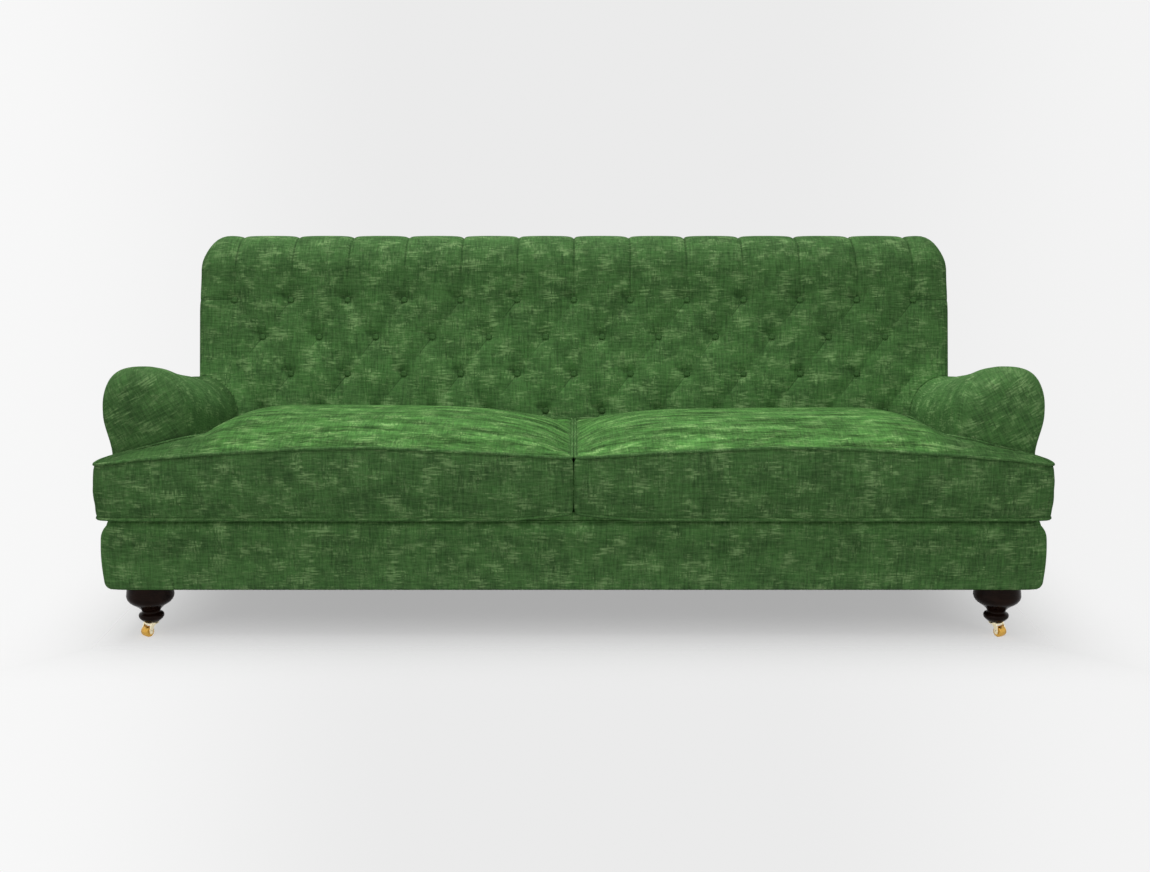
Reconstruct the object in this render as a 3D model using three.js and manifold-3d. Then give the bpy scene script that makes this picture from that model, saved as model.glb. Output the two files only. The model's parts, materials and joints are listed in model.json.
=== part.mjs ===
// A two-cushion roll-arm sofa with a deep buttoned back, turned front legs on brass castors
// and square rear legs. All lengths are millimetres, +Z is up and the sofa faces -Y.
// Left and right are as seen by someone who stands in front of the sofa.
// While the pieces are made, y = 0 is the front face of the base. The last lines move the
// whole sofa so that its origin is on the floor, under the middle of its footprint.
import * as THREE from 'three';
import { mergeVertices } from 'three/addons/utils/BufferGeometryUtils.js';
import Module from 'manifold-3d';

const wasm = await Module();
wasm.setup();

// Fits
const clearance = 0.3;              // between pieces that touch
const softClearance = 3;            // between a loose cushion and what stands beside it
const overrun = 20;                 // how far a cutting shape runs past the face that it cuts

// Base
const baseWidth = 2200;
const underBaseHeight = 136;        // floor to the underside of the base
const borderHeight = 159;
const borderThickness = 24;
const borderTopCorner = 38;
const borderBottomCorner = 28;
const borderSoftEdge = 9;
const borderCurveStepCount = 4;
const borderEdgeStepCount = 3;
const railThickness = 28;
const railHeight = 100;
const railLift = 2;                 // underside of the base to the underside of the rails
const blockLeg = 110;
const blockHeight = 40;
const dustClothThickness = 1.4;
const dustClothNotch = 150;

// Seat springs and the sprung deck
const springsPerSideCount = 4;
const springWireRadius = 1.9;
const springHalfWidth = 24;
const springHalfWaveCount = 15;
const springStepCount = 4;
const springWireSideCount = 5;
const springCrown = 22;
const deckThickness = 50;

// Arms
const armWidth = 198;
const armOverhang = 1;              // widest line of an arm past the end of the base
const armFrontY = 52;
const armRidgeY = 95;               // where the ridge of the arm is highest
const armFrontTop = 645;
const armRearY = 550;
const armRearTop = 553;
const armRollHeight = 106;          // ridge of the roll to its widest line
const armTuck = 17;                 // how far the outer side falls in under the roll
const armTuckDrop = 80;             // widest line to the seam under the roll
const armInnerRoundness = 2;
const armOuterRoundness = 2.9;
const armInnerWall = 32;
const armNoseDepth = 34;            // stuffing in front of the arm post
const armNoseShares = [0, 0.12, 0.38, 1];
const armSectionStepCount = 12;
const armSectionCount = 9;
const armBoardWidth = 90;
const armBoardThickness = 24;
const armBoardDrop = 122;           // ridge of the arm to the top of the arm board
const armPostThickness = 28;
const outerArmThickness = 12;

// Back
const backRake = THREE.MathUtils.degToRad(12);
const backFootY = 571;              // face of the back where it meets the deck
const backSetIn = 90;               // end of the base to the side of the back
const backTop = 904;                // floor to the top of the roll
const backRollRadius = 105;
const backRollTuckAngle = THREE.MathUtils.degToRad(-42);
const backPadThickness = 118;
const backFrameDepth = 45;
const backCornerRun = 66;           // length of the rounded upper corners along the roll
const backCornerDrop = 104;
const backCornerSinkShare = 0.35;    // part of the drop that the whole corner sinks by
const backSideRounding = 26;
const backEndShares = [0.45, 0.75, 0.92, 1];
const backFaceRowCount = 11;
const backRollStepCount = 9;
const postWidth = 45;
const postInset = 16;               // side of the back to the outer face of the post
const topRailHeight = 30;
const lowerRailHeight = 60;
const lowerRailLift = 40;
const stileWidth = 60;
const stileThickness = 19;
const webbingWidth = 70;
const webbingThickness = 1.4;
const webbingCount = 3;
const outerBackThickness = 8;

// Buttons of the back
const topButtonCount = 13;
const buttonRowCount = 5;
const buttonEndMargin = 95;         // side of the back to the end buttons of the top row
const buttonRowPitch = 98;
const topButtonRowHeight = 437;     // up the face of the back, from its foot to the top row
const buttonDepth = 27;
const buttonDimpleRadius = 30;
const pleatDepth = 9;
const pleatHalfWidth = 16;
const topPleatDepth = 8;

// Seat cushions
const cushionOverhang = 60;         // front of the cushions ahead of the base
const cushionBulge = 6;
const cushionEndSetIn = 6;          // end of the base to the outer end of a cushion
const cushionSeamGap = 3;           // between the two cushions
const cushionWingDepth = 106;
const cushionBackGap = 6;
const cushionWeltHeight = 135;      // underside to the top welt, at the ends and the middle
const cushionFrontRise = 27;        // extra height of the front welt midway
const cushionCrown = 66;
const cushionWingCrown = 15;
const cushionSoftRun = 190;         // width over which the crown rises from the end welts
const cushionDepthRun = 260;        // depth over which it rises from the front and rear welts
const cushionFullness = 2.2;        // how round the crown rises: 1 is straight
const cushionCorner = 24;           // how near a corner the plan is drawn in
const cushionCornerDraw = 8;

// Front legs
const legInset = 90;                // end of the base to the axis of a front leg
const legSetBack = 70;              // front of the base to the axis of a front leg
const legTopRadius = 50;
const legBulbRadius = 54;
const legShoulderRadius = 46;
const legNeckRadius = 22;
const legRingRadius = 28.5;
const legFootRadius = 19;
// Heights of the mouldings of a front leg, as shares of its length from the foot up
const legHeightShares = {
  footTop: 0.05,
  ringFlare: 0.1,
  ringLow: 0.16,
  ringHigh: 0.22,
  neckLow: 0.26,
  neckHigh: 0.3,
  cupLow: 0.36,
  cupMiddle: 0.43,
  shoulder: 0.51,
  bulbLow: 0.57,
  bulbMiddle: 0.68,
  bulbHigh: 0.78,
  collar: 0.9,
};
const legBoltRadius = 4;
const legBoltDepth = 42;            // thread of the bolt inside a leg
const legBoltHeadRadius = 9;
const legBoltHeadHeight = 6;
const stemRadius = 4;
const stemLength = 24;
const legSideCount = 18;
const boltSideCount = 10;

// Castors
const castorYaw = THREE.MathUtils.degToRad(36);
const castorTrail = 14;
const castorWheelRadius = 13;
const castorWheelWidth = 21;
const castorWheelSideCount = 20;
const castorSideCount = 14;
const castorCurveStepCount = 6;
const castorWheelEdge = 3;
const castorAxleRadius = 2.4;
const castorAxleHead = 1.2;
const castorPlateRadius = 16.5;
const castorPlateThickness = 3;
const castorCheekThickness = 3;
const castorCheekGap = 1;
const castorBossRadius = 5.2;
const castorCrownRadius = 11;
const castorCrownThickness = 4;
const castorCrownDrop = 6;          // top of the wheel to the underside of the horn's crown
const castorPinRadius = 3.2;
const runningClearance = 0.2;

// Rear legs
const rearLegTop = 56;
const rearLegFoot = 38;
const rearLegRake = 24;
const rearLegInset = 92;
const rearLegSetIn = 52;

// Levels and places that several pieces share
const baseHalfWidth = baseWidth / 2;
const armOuterX = baseHalfWidth + armOverhang;
const armInnerX = armOuterX - armWidth;
const backHalfWidth = baseHalfWidth - backSetIn;
const cushionHalfLength = baseHalfWidth - cushionEndSetIn;
const buttonGapCount = topButtonCount - 1;
const endButtonX = backHalfWidth - buttonEndMargin;
const buttonPitch = (2 * endButtonX) / buttonGapCount;
const railBottom = underBaseHeight + railLift;
const railTop = railBottom + railHeight;
const borderTop = underBaseHeight + borderHeight;
const springTop = railTop + clearance + 2 * springWireRadius + springCrown;
const deckBottom = springTop + clearance;
const deckTop = deckBottom + deckThickness;
const seatLevel = deckTop + clearance;
const blockTop = underBaseHeight + blockHeight;
const frontRailY = borderThickness + clearance;
const behindFrontRailY = frontRailY + railThickness + clearance;
const sideRailOuterX = baseHalfWidth - borderThickness - clearance;
const sideRailInnerX = sideRailOuterX - railThickness;
const insideRailX = sideRailInnerX - clearance;
const outerBackFront = backPadThickness + backFrameDepth + 2 * clearance;
const frameRear = outerBackFront - clearance;
const frameFront = backPadThickness - webbingThickness - clearance;
const armPostY = armFrontY + armNoseDepth + clearance;
const frontLegX = baseHalfWidth - legInset;
const rearLegX = baseHalfWidth - rearLegInset;
const rollHeight = (backTop - backRollRadius - seatLevel + backRollRadius * Math.sin(backRake))
  / Math.cos(backRake);             // up the raked face, from its foot to the roll's centre

// y of a point of the raked back: out is measured square to its face, height above the floor.
function rakedY(out, height) {
  return backFootY + (height - seatLevel) * Math.tan(backRake) + out / Math.cos(backRake);
}

// Materials
const materials = {
  velvet: new THREE.MeshStandardMaterial({ color: 0x4d7a41, roughness: 0.95, metalness: 0 }),
  beech: new THREE.MeshStandardMaterial({ color: 0xc9a878, roughness: 0.7, metalness: 0 }),
  ebonised: new THREE.MeshStandardMaterial({ color: 0x1c1310, roughness: 0.25, metalness: 0 }),
  brass: new THREE.MeshStandardMaterial({ color: 0xd0a040, roughness: 0.25, metalness: 1 }),
  steel: new THREE.MeshStandardMaterial({ color: 0x8b9096, roughness: 0.4, metalness: 1 }),
  webbing: new THREE.MeshStandardMaterial({ color: 0x5a4a36, roughness: 0.9, metalness: 0 }),
  lining: new THREE.MeshStandardMaterial({ color: 0x1a1a1a, roughness: 0.9, metalness: 0 }),
};

const sofa = new THREE.Group();
const rakedBack = new THREE.Group();
rakedBack.position.set(0, backFootY, seatLevel);
rakedBack.rotation.x = -backRake;
sofa.add(rakedBack);

// Adds one named piece to a group.
function addPiece(name, geometry, material, group = sofa) {
  const piece = new THREE.Mesh(geometry, material);
  piece.name = name;
  group.add(piece);
  return piece;
}

const sides = [{ name: 'left', sign: -1 }, { name: 'right', sign: 1 }];

// General solids

// A geometry of shared corners whose faces all point outwards.
function closedGeometry(positions, indices) {
  let volume = 0;
  const corner = (i) => new THREE.Vector3().fromArray(positions, 3 * indices[i]);
  for (let i = 0; i < indices.length; i += 3) {
    volume += corner(i).dot(corner(i + 1).cross(corner(i + 2)));
  }
  if (volume < 0) {
    for (let i = 0; i < indices.length; i += 3) {
      [indices[i + 1], indices[i + 2]] = [indices[i + 2], indices[i + 1]];
    }
  }
  const geometry = new THREE.BufferGeometry();
  geometry.setAttribute('position', new THREE.Float32BufferAttribute(positions, 3));
  geometry.setIndex(indices);
  geometry.computeVertexNormals();
  return geometry;
}

function cornersOnly(geometry) {
  const bare = geometry.clone();
  bare.deleteAttribute('normal');
  bare.deleteAttribute('uv');
  return mergeVertices(bare);
}

function toSolid(geometry) {
  const bare = cornersOnly(geometry);
  return new wasm.Manifold(new wasm.Mesh({
    numProp: 3,
    vertProperties: Float32Array.from(bare.attributes.position.array),
    triVerts: Uint32Array.from(bare.index.array),
  }));
}

function fromSolid(solid) {
  const mesh = solid.getMesh();
  return closedGeometry(Array.from(mesh.vertProperties), Array.from(mesh.triVerts));
}

// One geometry less others, and several joined to one.
function cut(geometry, ...tools) {
  return fromSolid(tools.reduce((solid, tool) => solid.subtract(toSolid(tool)), toSolid(geometry)));
}

function join(first, ...others) {
  return fromSolid(others.reduce((solid, other) => solid.add(toSolid(other)), toSolid(first)));
}

function mirrored(geometry) {
  const bare = cornersOnly(geometry);
  bare.scale(-1, 1, 1);
  return closedGeometry(Array.from(bare.attributes.position.array), Array.from(bare.index.array));
}

// The right-hand piece as it is, or its mirror image for the left.
function handed(geometry, side) {
  return side.sign > 0 ? geometry : mirrored(geometry);
}

function block(x0, x1, y0, y1, z0, z1) {
  const geometry = new THREE.BoxGeometry(x1 - x0, y1 - y0, z1 - z0);
  return geometry.translate((x0 + x1) / 2, (y0 + y1) / 2, (z0 + z1) / 2);
}

function outline(points) {
  return new THREE.Shape(points.map(([a, b]) => new THREE.Vector2(a, b)));
}

// A board whose outline is drawn in plan, as x and y.
function planBoard(points, z0, z1) {
  const board = new THREE.ExtrudeGeometry(outline(points), { depth: z1 - z0, bevelEnabled: false });
  return board.translate(0, 0, z0);
}

// A board whose outline is drawn from the side, as y and z, and that runs from x0 to x1.
function sideBoard(points, x0, x1) {
  const board = new THREE.ExtrudeGeometry(outline(points), { depth: x1 - x0, bevelEnabled: false });
  const turn = new THREE.Matrix4().makeBasis(
    new THREE.Vector3(0, 1, 0), new THREE.Vector3(0, 0, 1), new THREE.Vector3(1, 0, 0));
  return board.applyMatrix4(turn).translate(x0, 0, 0);
}

function rod(radius, z0, z1, sideCount) {
  const geometry = new THREE.CylinderGeometry(radius, radius, z1 - z0, sideCount);
  return geometry.rotateX(Math.PI / 2).translate(0, 0, (z0 + z1) / 2);
}

// A turned piece: its profile is pairs of radius and height, and it stands on +Z.
function turned(profile, sideCount) {
  const points = profile.map(([radius, height]) => new THREE.Vector2(radius, height));
  return cornersOnly(new THREE.LatheGeometry(points, sideCount).rotateX(Math.PI / 2));
}

// Skins a row of rings that have as many points each, and closes both ends.
// flat gives the two numbers of a point that an end's outline is drawn in. Where depth is
// given, each four-sided face folds along its deeper diagonal, so that pleats stay creased.
function loft(rings, flat, depth) {
  const count = rings[0].length;
  const positions = rings.flat().flatMap((point) => [point.x, point.y, point.z]);
  const indices = [];
  for (let ring = 0; ring + 1 < rings.length; ring += 1) {
    for (let i = 0; i < count; i += 1) {
      const next = (i + 1) % count;
      const a = ring * count + i;
      const b = ring * count + next;
      const here = rings[ring];
      const after = rings[ring + 1];
      if (depth && depth(here[next]) + depth(after[i]) > depth(here[i]) + depth(after[next])) {
        indices.push(a, b, a + count, b, b + count, a + count);
      } else {
        indices.push(a, b, b + count, a, b + count, a + count);
      }
    }
  }
  for (const [ring, reversed] of [[0, true], [rings.length - 1, false]]) {
    const contour = rings[ring].map((point) => new THREE.Vector2(...flat(point)));
    const turnsLeft = THREE.ShapeUtils.area(contour) > 0;
    for (const face of THREE.ShapeUtils.triangulateShape(contour, [])) {
      const faceTurnsLeft = THREE.ShapeUtils.area(face.map((i) => contour[i])) > 0;
      const ordered = (faceTurnsLeft === turnsLeft) !== reversed ? face : [...face].reverse();
      indices.push(...ordered.map((i) => i + ring * count));
    }
  }
  return closedGeometry(positions, indices);
}

function smooth(value, from, to) {
  return THREE.MathUtils.smoothstep(value, from, to);
}

// Base: borders, rails, blocks and the cloth under them

function makeFrontBorder() {
  const half = baseHalfWidth - borderSoftEdge;
  const low = underBaseHeight + borderSoftEdge;
  const high = borderTop - borderSoftEdge;
  const topCorner = borderTopCorner - borderSoftEdge;
  const bottomCorner = borderBottomCorner - borderSoftEdge;
  const shape = new THREE.Shape();
  shape.moveTo(-half + bottomCorner, low);
  shape.lineTo(half - bottomCorner, low);
  shape.absarc(half - bottomCorner, low + bottomCorner, bottomCorner, -Math.PI / 2, 0);
  shape.absarc(half - topCorner, high - topCorner, topCorner, 0, Math.PI / 2);
  shape.absarc(-half + topCorner, high - topCorner, topCorner, Math.PI / 2, Math.PI);
  shape.absarc(-half + bottomCorner, low + bottomCorner, bottomCorner, Math.PI, 1.5 * Math.PI);
  const pad = new THREE.ExtrudeGeometry(shape, {
    depth: borderThickness - borderSoftEdge,
    bevelThickness: borderSoftEdge,
    bevelSize: borderSoftEdge,
    bevelSegments: borderEdgeStepCount,
    curveSegments: borderCurveStepCount,
  });
  pad.rotateX(Math.PI / 2).translate(0, borderThickness - borderSoftEdge, 0);
  const behind = block(-baseWidth, baseWidth, borderThickness, borderThickness + overrun, 0, backTop);
  return cut(pad, behind);
}

function makeSideBorder() {
  const front = borderThickness + clearance;
  const inner = sideRailOuterX + clearance;
  const outer = baseHalfWidth;
  const topRadius = outer - inner - clearance;
  const bottomRadius = 2 * borderSoftEdge;
  const shape = new THREE.Shape();
  shape.moveTo(inner, underBaseHeight);
  shape.absarc(outer - bottomRadius, underBaseHeight + bottomRadius, bottomRadius, -Math.PI / 2, 0);
  shape.absarc(outer - topRadius, borderTop - topRadius, topRadius, 0, Math.PI / 2);
  shape.lineTo(inner, borderTop);
  const section = shape.getPoints(borderCurveStepCount).map((point) => [point.x, point.y]);
  const ring = (yOf) => section.map(([x, z]) => new THREE.Vector3(x, yOf(z), z));
  return loft([ring(() => front), ring((z) => rakedY(frameRear, z))], (point) => [point.x, point.z]);
}

const rearRailFront = frameRear - railThickness;

function makeSideRail() {
  const rear = (z) => rakedY(rearRailFront, z) - clearance;
  const points = [
    [behindFrontRailY, railBottom],
    [rear(railBottom), railBottom],
    [rear(railBottom), railTop],
    [behindFrontRailY, railTop],
  ];
  return sideBoard(points, sideRailInnerX, sideRailOuterX);
}

function makeRearRail() {
  const points = [
    [rakedY(rearRailFront, railBottom), railBottom],
    [rakedY(frameRear, railBottom), railBottom],
    [rakedY(frameRear, railTop), railTop],
    [rakedY(rearRailFront, railTop), railTop],
  ];
  return sideBoard(points, -sideRailOuterX, sideRailOuterX);
}

const rearBlockY = rakedY(rearRailFront, railBottom) - clearance;
const rearLegY = rearBlockY - rearLegSetIn;

// A triangular block in a corner of the rails, with the hole of the leg bolt.
function makeCornerBlock(cornerY, inwards, boltX, boltY) {
  const points = [
    [insideRailX, cornerY],
    [insideRailX - blockLeg, cornerY],
    [insideRailX, cornerY + inwards * blockLeg],
  ];
  const hole = rod(legBoltRadius + clearance, underBaseHeight - overrun, blockTop + overrun, boltSideCount);
  return cut(planBoard(points, underBaseHeight, blockTop), hole.translate(boltX, boltY, 0));
}

function makeDustCloth() {
  const half = sideRailOuterX;
  const front = frontRailY;
  const rear = rakedY(frameRear, railBottom) - clearance;
  const points = [
    [-half + dustClothNotch, front], [half - dustClothNotch, front],
    [half - dustClothNotch, front + dustClothNotch], [half, front + dustClothNotch],
    [half, rear - dustClothNotch], [half - dustClothNotch, rear - dustClothNotch],
    [half - dustClothNotch, rear], [-half + dustClothNotch, rear],
    [-half + dustClothNotch, rear - dustClothNotch], [-half, rear - dustClothNotch],
    [-half, front + dustClothNotch], [-half + dustClothNotch, front + dustClothNotch],
  ];
  const top = railBottom - clearance;
  return planBoard(points, top - dustClothThickness, top);
}

addPiece('front_border', makeFrontBorder(), materials.velvet);
addPiece('front_seat_rail', block(-sideRailOuterX, sideRailOuterX, frontRailY,
  frontRailY + railThickness, railBottom, railTop), materials.beech);
addPiece('rear_seat_rail', makeRearRail(), materials.beech);
addPiece('centre_seat_rail', block(-railThickness / 2, railThickness / 2, behindFrontRailY,
  rearBlockY, railBottom, railTop), materials.beech);
addPiece('dust_cloth', makeDustCloth(), materials.lining);
for (const side of sides) {
  addPiece(`${side.name}_side_border`, handed(makeSideBorder(), side), materials.velvet);
  addPiece(`${side.name}_side_rail`, handed(makeSideRail(), side), materials.beech);
  const frontBlock = makeCornerBlock(behindFrontRailY, 1, frontLegX, legSetBack);
  addPiece(`${side.name}_front_corner_block`, handed(frontBlock, side), materials.beech);
  const rearBlock = makeCornerBlock(rearBlockY, -1, rearLegX, rearLegY);
  addPiece(`${side.name}_rear_corner_block`, handed(rearBlock, side), materials.beech);
}

// Sinuous seat springs, from the front rail to the rear rail, and the padded deck over them

class SinuousWire extends THREE.Curve {
  constructor(x, startY, endY) {
    super();
    this.x = x;
    this.startY = startY;
    this.endY = endY;
  }

  getPoint(share, target = new THREE.Vector3()) {
    const wave = Math.sin(Math.PI * springHalfWaveCount * share);
    const arch = 1 - (2 * share - 1) ** 2;
    return target.set(
      this.x + springHalfWidth * Math.sign(wave) * Math.sqrt(Math.abs(wave)),
      THREE.MathUtils.lerp(this.startY, this.endY, share),
      railTop + clearance + springWireRadius + springCrown * arch,
    );
  }

  getPointAt(share, target) {
    return this.getPoint(share, target);
  }
}

function makeSpring(x) {
  const startY = frontRailY + railThickness / 2;
  const endY = rakedY(rearRailFront, railTop) + railThickness / 2;
  const wire = Array.from({ length: springWireSideCount }, (_, i) => {
    const angle = (2 * Math.PI * i) / springWireSideCount;
    return [springWireRadius * Math.cos(angle), springWireRadius * Math.sin(angle)];
  });
  return cornersOnly(new THREE.ExtrudeGeometry(outline(wire), {
    steps: springHalfWaveCount * springStepCount,
    extrudePath: new SinuousWire(x, startY, endY),
  }));
}

const springSpan = armInnerX / springsPerSideCount;
for (let i = 0; i < 2 * springsPerSideCount; i += 1) {
  const x = (i + 0.5 - springsPerSideCount) * springSpan;
  addPiece(`seat_spring_${i + 1}`, makeSpring(x), materials.steel);
}

const deckHalfWidth = armInnerX + armInnerWall;

function makeDeck() {
  const front = borderThickness + clearance;
  const wingRear = armFrontY - clearance;
  const rear = rakedY(backPadThickness - webbingThickness, deckBottom) - softClearance;
  const points = [
    [-sideRailOuterX, front], [sideRailOuterX, front],
    [sideRailOuterX, wingRear], [deckHalfWidth, wingRear],
    [deckHalfWidth, rear], [-deckHalfWidth, rear],
    [-deckHalfWidth, wingRear], [-sideRailOuterX, wingRear],
  ];
  return planBoard(points, deckBottom, deckTop);
}

addPiece('seat_deck', makeDeck(), materials.lining);

// Arms

const ridgeSlope = (armFrontTop - armRearTop) / (armRearY - armRidgeY);

// Height of the arm's ridge along its length. The arm falls towards the back.
function ridgeHeight(y) {
  return armFrontTop - ridgeSlope * Math.max(y - armRidgeY, 0);
}

// y where a slope some way under the ridge meets a raked plane of the back.
function meetsRaked(drop, out) {
  const heightAtNought = armFrontTop + ridgeSlope * armRidgeY - drop;
  const rake = Math.tan(backRake);
  return (rakedY(out, 0) + rake * heightAtNought) / (1 + rake * ridgeSlope);
}

// One section of the stuffed arm, grown outwards by extra. Its nose is drawn in by inset.
function armSection(y, inset, extra) {
  const ridge = ridgeHeight(y);
  const middleX = (armInnerX + armOuterX) / 2;
  const halfWidth = (armOuterX - armInnerX) / 2;
  const wide = ridge - armRollHeight;
  const seam = wide - armTuckDrop;
  const points = [[armInnerX, seatLevel], [armInnerX, (seatLevel + wide) / 2]];
  for (let i = 0; i <= armSectionStepCount; i += 1) {
    const angle = Math.PI - (Math.PI * i) / armSectionStepCount;
    const power = 2 / (angle > Math.PI / 2 ? armInnerRoundness : armOuterRoundness);
    const across = Math.sign(Math.cos(angle)) * Math.abs(Math.cos(angle)) ** power;
    points.push([middleX + halfWidth * across, wide + armRollHeight * Math.sin(angle) ** power]);
  }
  points.push([armOuterX - armTuck, seam], [armOuterX - armTuck, seatLevel]);
  const growth = extra - inset;
  return points.map(([x, z]) => {
    const spread = ((x - middleX) * growth) / halfWidth;
    const lift = (Math.max(z - wide, 0) * growth) / armRollHeight;
    return new THREE.Vector3(x + spread, y, z + lift);
  });
}

const armRear = rakedY(frameRear, armRearTop) + overrun;

function armLoaf() {
  const nose = armRidgeY - armFrontY;
  const rings = armNoseShares.map((share) => {
    const inset = armNoseDepth * (1 - Math.sqrt(1 - (1 - share) ** 2));
    return armSection(armFrontY + nose * share, inset, 0);
  });
  for (let i = 1; i < armSectionCount; i += 1) {
    const y = THREE.MathUtils.lerp(armRidgeY, armRear, i / (armSectionCount - 1));
    rings.push(armSection(y, 0, 0));
  }
  return loft(rings, (point) => [point.x, point.z]);
}

// The room that an arm takes up, for the pieces that are cut round it.
function armRoom() {
  const reach = armRear + overrun;
  const rings = [armFrontY, armRidgeY, reach].map((y) => armSection(y, 0, clearance));
  rings.forEach((ring) => {
    ring[0].z = -overrun;
    ring[ring.length - 1].z = -overrun;
  });
  return loft(rings, (point) => [point.x, point.z]);
}

// A slope that follows the arm, some way under its ridge, drawn from the side.
function underRidge(drop, fromY, toY) {
  const bends = fromY < armRidgeY && armRidgeY < toY ? [armRidgeY] : [];
  return [toY, ...bends, fromY].map((y) => [y, ridgeHeight(y) - drop]);
}

const seamDrop = armRollHeight + armTuckDrop;
const armBoardInnerX = insideRailX - armBoardWidth;
const rakedRearCut = [
  [rakedY(frameRear, 0), 0],
  [rakedY(frameRear, backTop) + overrun, 0],
  [rakedY(frameRear, backTop) + overrun, backTop],
  [rakedY(frameRear, backTop), backTop],
];
const postOuterX = backHalfWidth - postInset;
const postInnerX = postOuterX - postWidth;

// The stuffed arm: hollow underneath for the post, the board and the outer arm panel.
function makeArmPad() {
  const cutFront = armFrontY + armNoseDepth;
  const cutRear = armRear + overrun;
  const sideRoom = sideBoard([[cutFront, 0], [cutRear, 0],
    ...underRidge(seamDrop, cutFront, cutRear)], armInnerX + armInnerWall, armOuterX + overrun);
  const boardRoom = sideBoard([[cutFront, 0], [cutRear, 0],
    ...underRidge(armBoardDrop - clearance, cutFront, cutRear)],
  armBoardInnerX - clearance, insideRailX + clearance);
  const postRoom = sideBoard([
    [rakedY(frameFront, 0), 0],
    [rakedY(frameRear, 0) + overrun, 0],
    [rakedY(frameRear, backTop) + overrun, backTop],
    [rakedY(frameFront, backTop), backTop],
  ], armInnerX - overrun, postOuterX + clearance);
  const rearRoom = sideBoard(rakedRearCut, 0, armOuterX + overrun);
  return cut(armLoaf(), sideRoom, boardRoom, postRoom, rearRoom);
}

function makeArmPost() {
  const rear = armPostY + armPostThickness;
  const drop = armBoardDrop + armBoardThickness + clearance;
  const points = [[armPostY, blockTop + clearance], [rear, blockTop + clearance],
    ...underRidge(drop, armPostY, rear)];
  return sideBoard(points, armBoardInnerX, insideRailX);
}

function makeArmBoard() {
  const boardFoot = armBoardDrop + armBoardThickness;
  const rear = meetsRaked(boardFoot, backPadThickness) - clearance;
  const low = underRidge(boardFoot, armPostY, rear).reverse();
  return sideBoard([...low, ...underRidge(armBoardDrop, armPostY, rear)], armBoardInnerX, insideRailX);
}

function makeOuterArm() {
  const front = armFrontY + armNoseDepth + clearance;
  const low = borderTop + clearance;
  const rearY = meetsRaked(seamDrop + clearance, frameRear);
  const points = [[front, low], [rakedY(frameRear, low), low],
    ...underRidge(seamDrop + clearance, front, rearY)];
  const outer = armOuterX - armTuck;
  return sideBoard(points, outer - outerArmThickness, outer);
}

for (const side of sides) {
  addPiece(`${side.name}_arm_pad`, handed(makeArmPad(), side), materials.velvet);
  addPiece(`${side.name}_arm_front_post`, handed(makeArmPost(), side), materials.beech);
  addPiece(`${side.name}_arm_board`, handed(makeArmBoard(), side), materials.beech);
  addPiece(`${side.name}_outer_arm`, handed(makeOuterArm(), side), materials.velvet);
}

// Back. Its pieces are drawn in the raked group: x across, y out from the face to the rear,
// z up the face from its foot.

// Across a pleat that leans from a button to the next row's, per length straight across.
const acrossPleat = buttonRowPitch / Math.hypot(buttonRowPitch, buttonPitch / 2);

// How far the cloth is drawn in at a place on the face, by the buttons and their pleats.
function tuftDepth(x, up) {
  const fromTop = (topButtonRowHeight - up) / buttonRowPitch;
  if (fromTop < 0) {
    const across = Math.abs(x - Math.round(x / buttonPitch) * buttonPitch);
    const pleat = topPleatDepth * Math.exp(-((across / pleatHalfWidth) ** 2));
    const above = -fromTop * buttonRowPitch;
    const dimple = Math.exp(-((across ** 2 + above ** 2) / buttonDimpleRadius ** 2));
    return Math.max(pleat, buttonDepth * dimple);
  }
  let depth = 0;
  for (let row = 0; row < buttonRowCount; row += 1) {
    const place = x + (row % 2) * (buttonPitch / 2);
    const across = Math.abs(place - Math.round(place / buttonPitch) * buttonPitch);
    const along = (fromTop - row) * buttonRowPitch;
    const dimple = Math.exp(-((across ** 2 + along ** 2) / buttonDimpleRadius ** 2));
    depth = Math.max(depth, buttonDepth * dimple);
    const offPleat = ((Math.abs(along) * buttonPitch) / (2 * buttonRowPitch) - across) * acrossPleat;
    if (Math.abs(along) <= buttonRowPitch && row + 1 < buttonRowCount) {
      depth = Math.max(depth, pleatDepth * Math.exp(-((offPleat / pleatHalfWidth) ** 2)));
    }
  }
  return depth;
}

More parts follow.
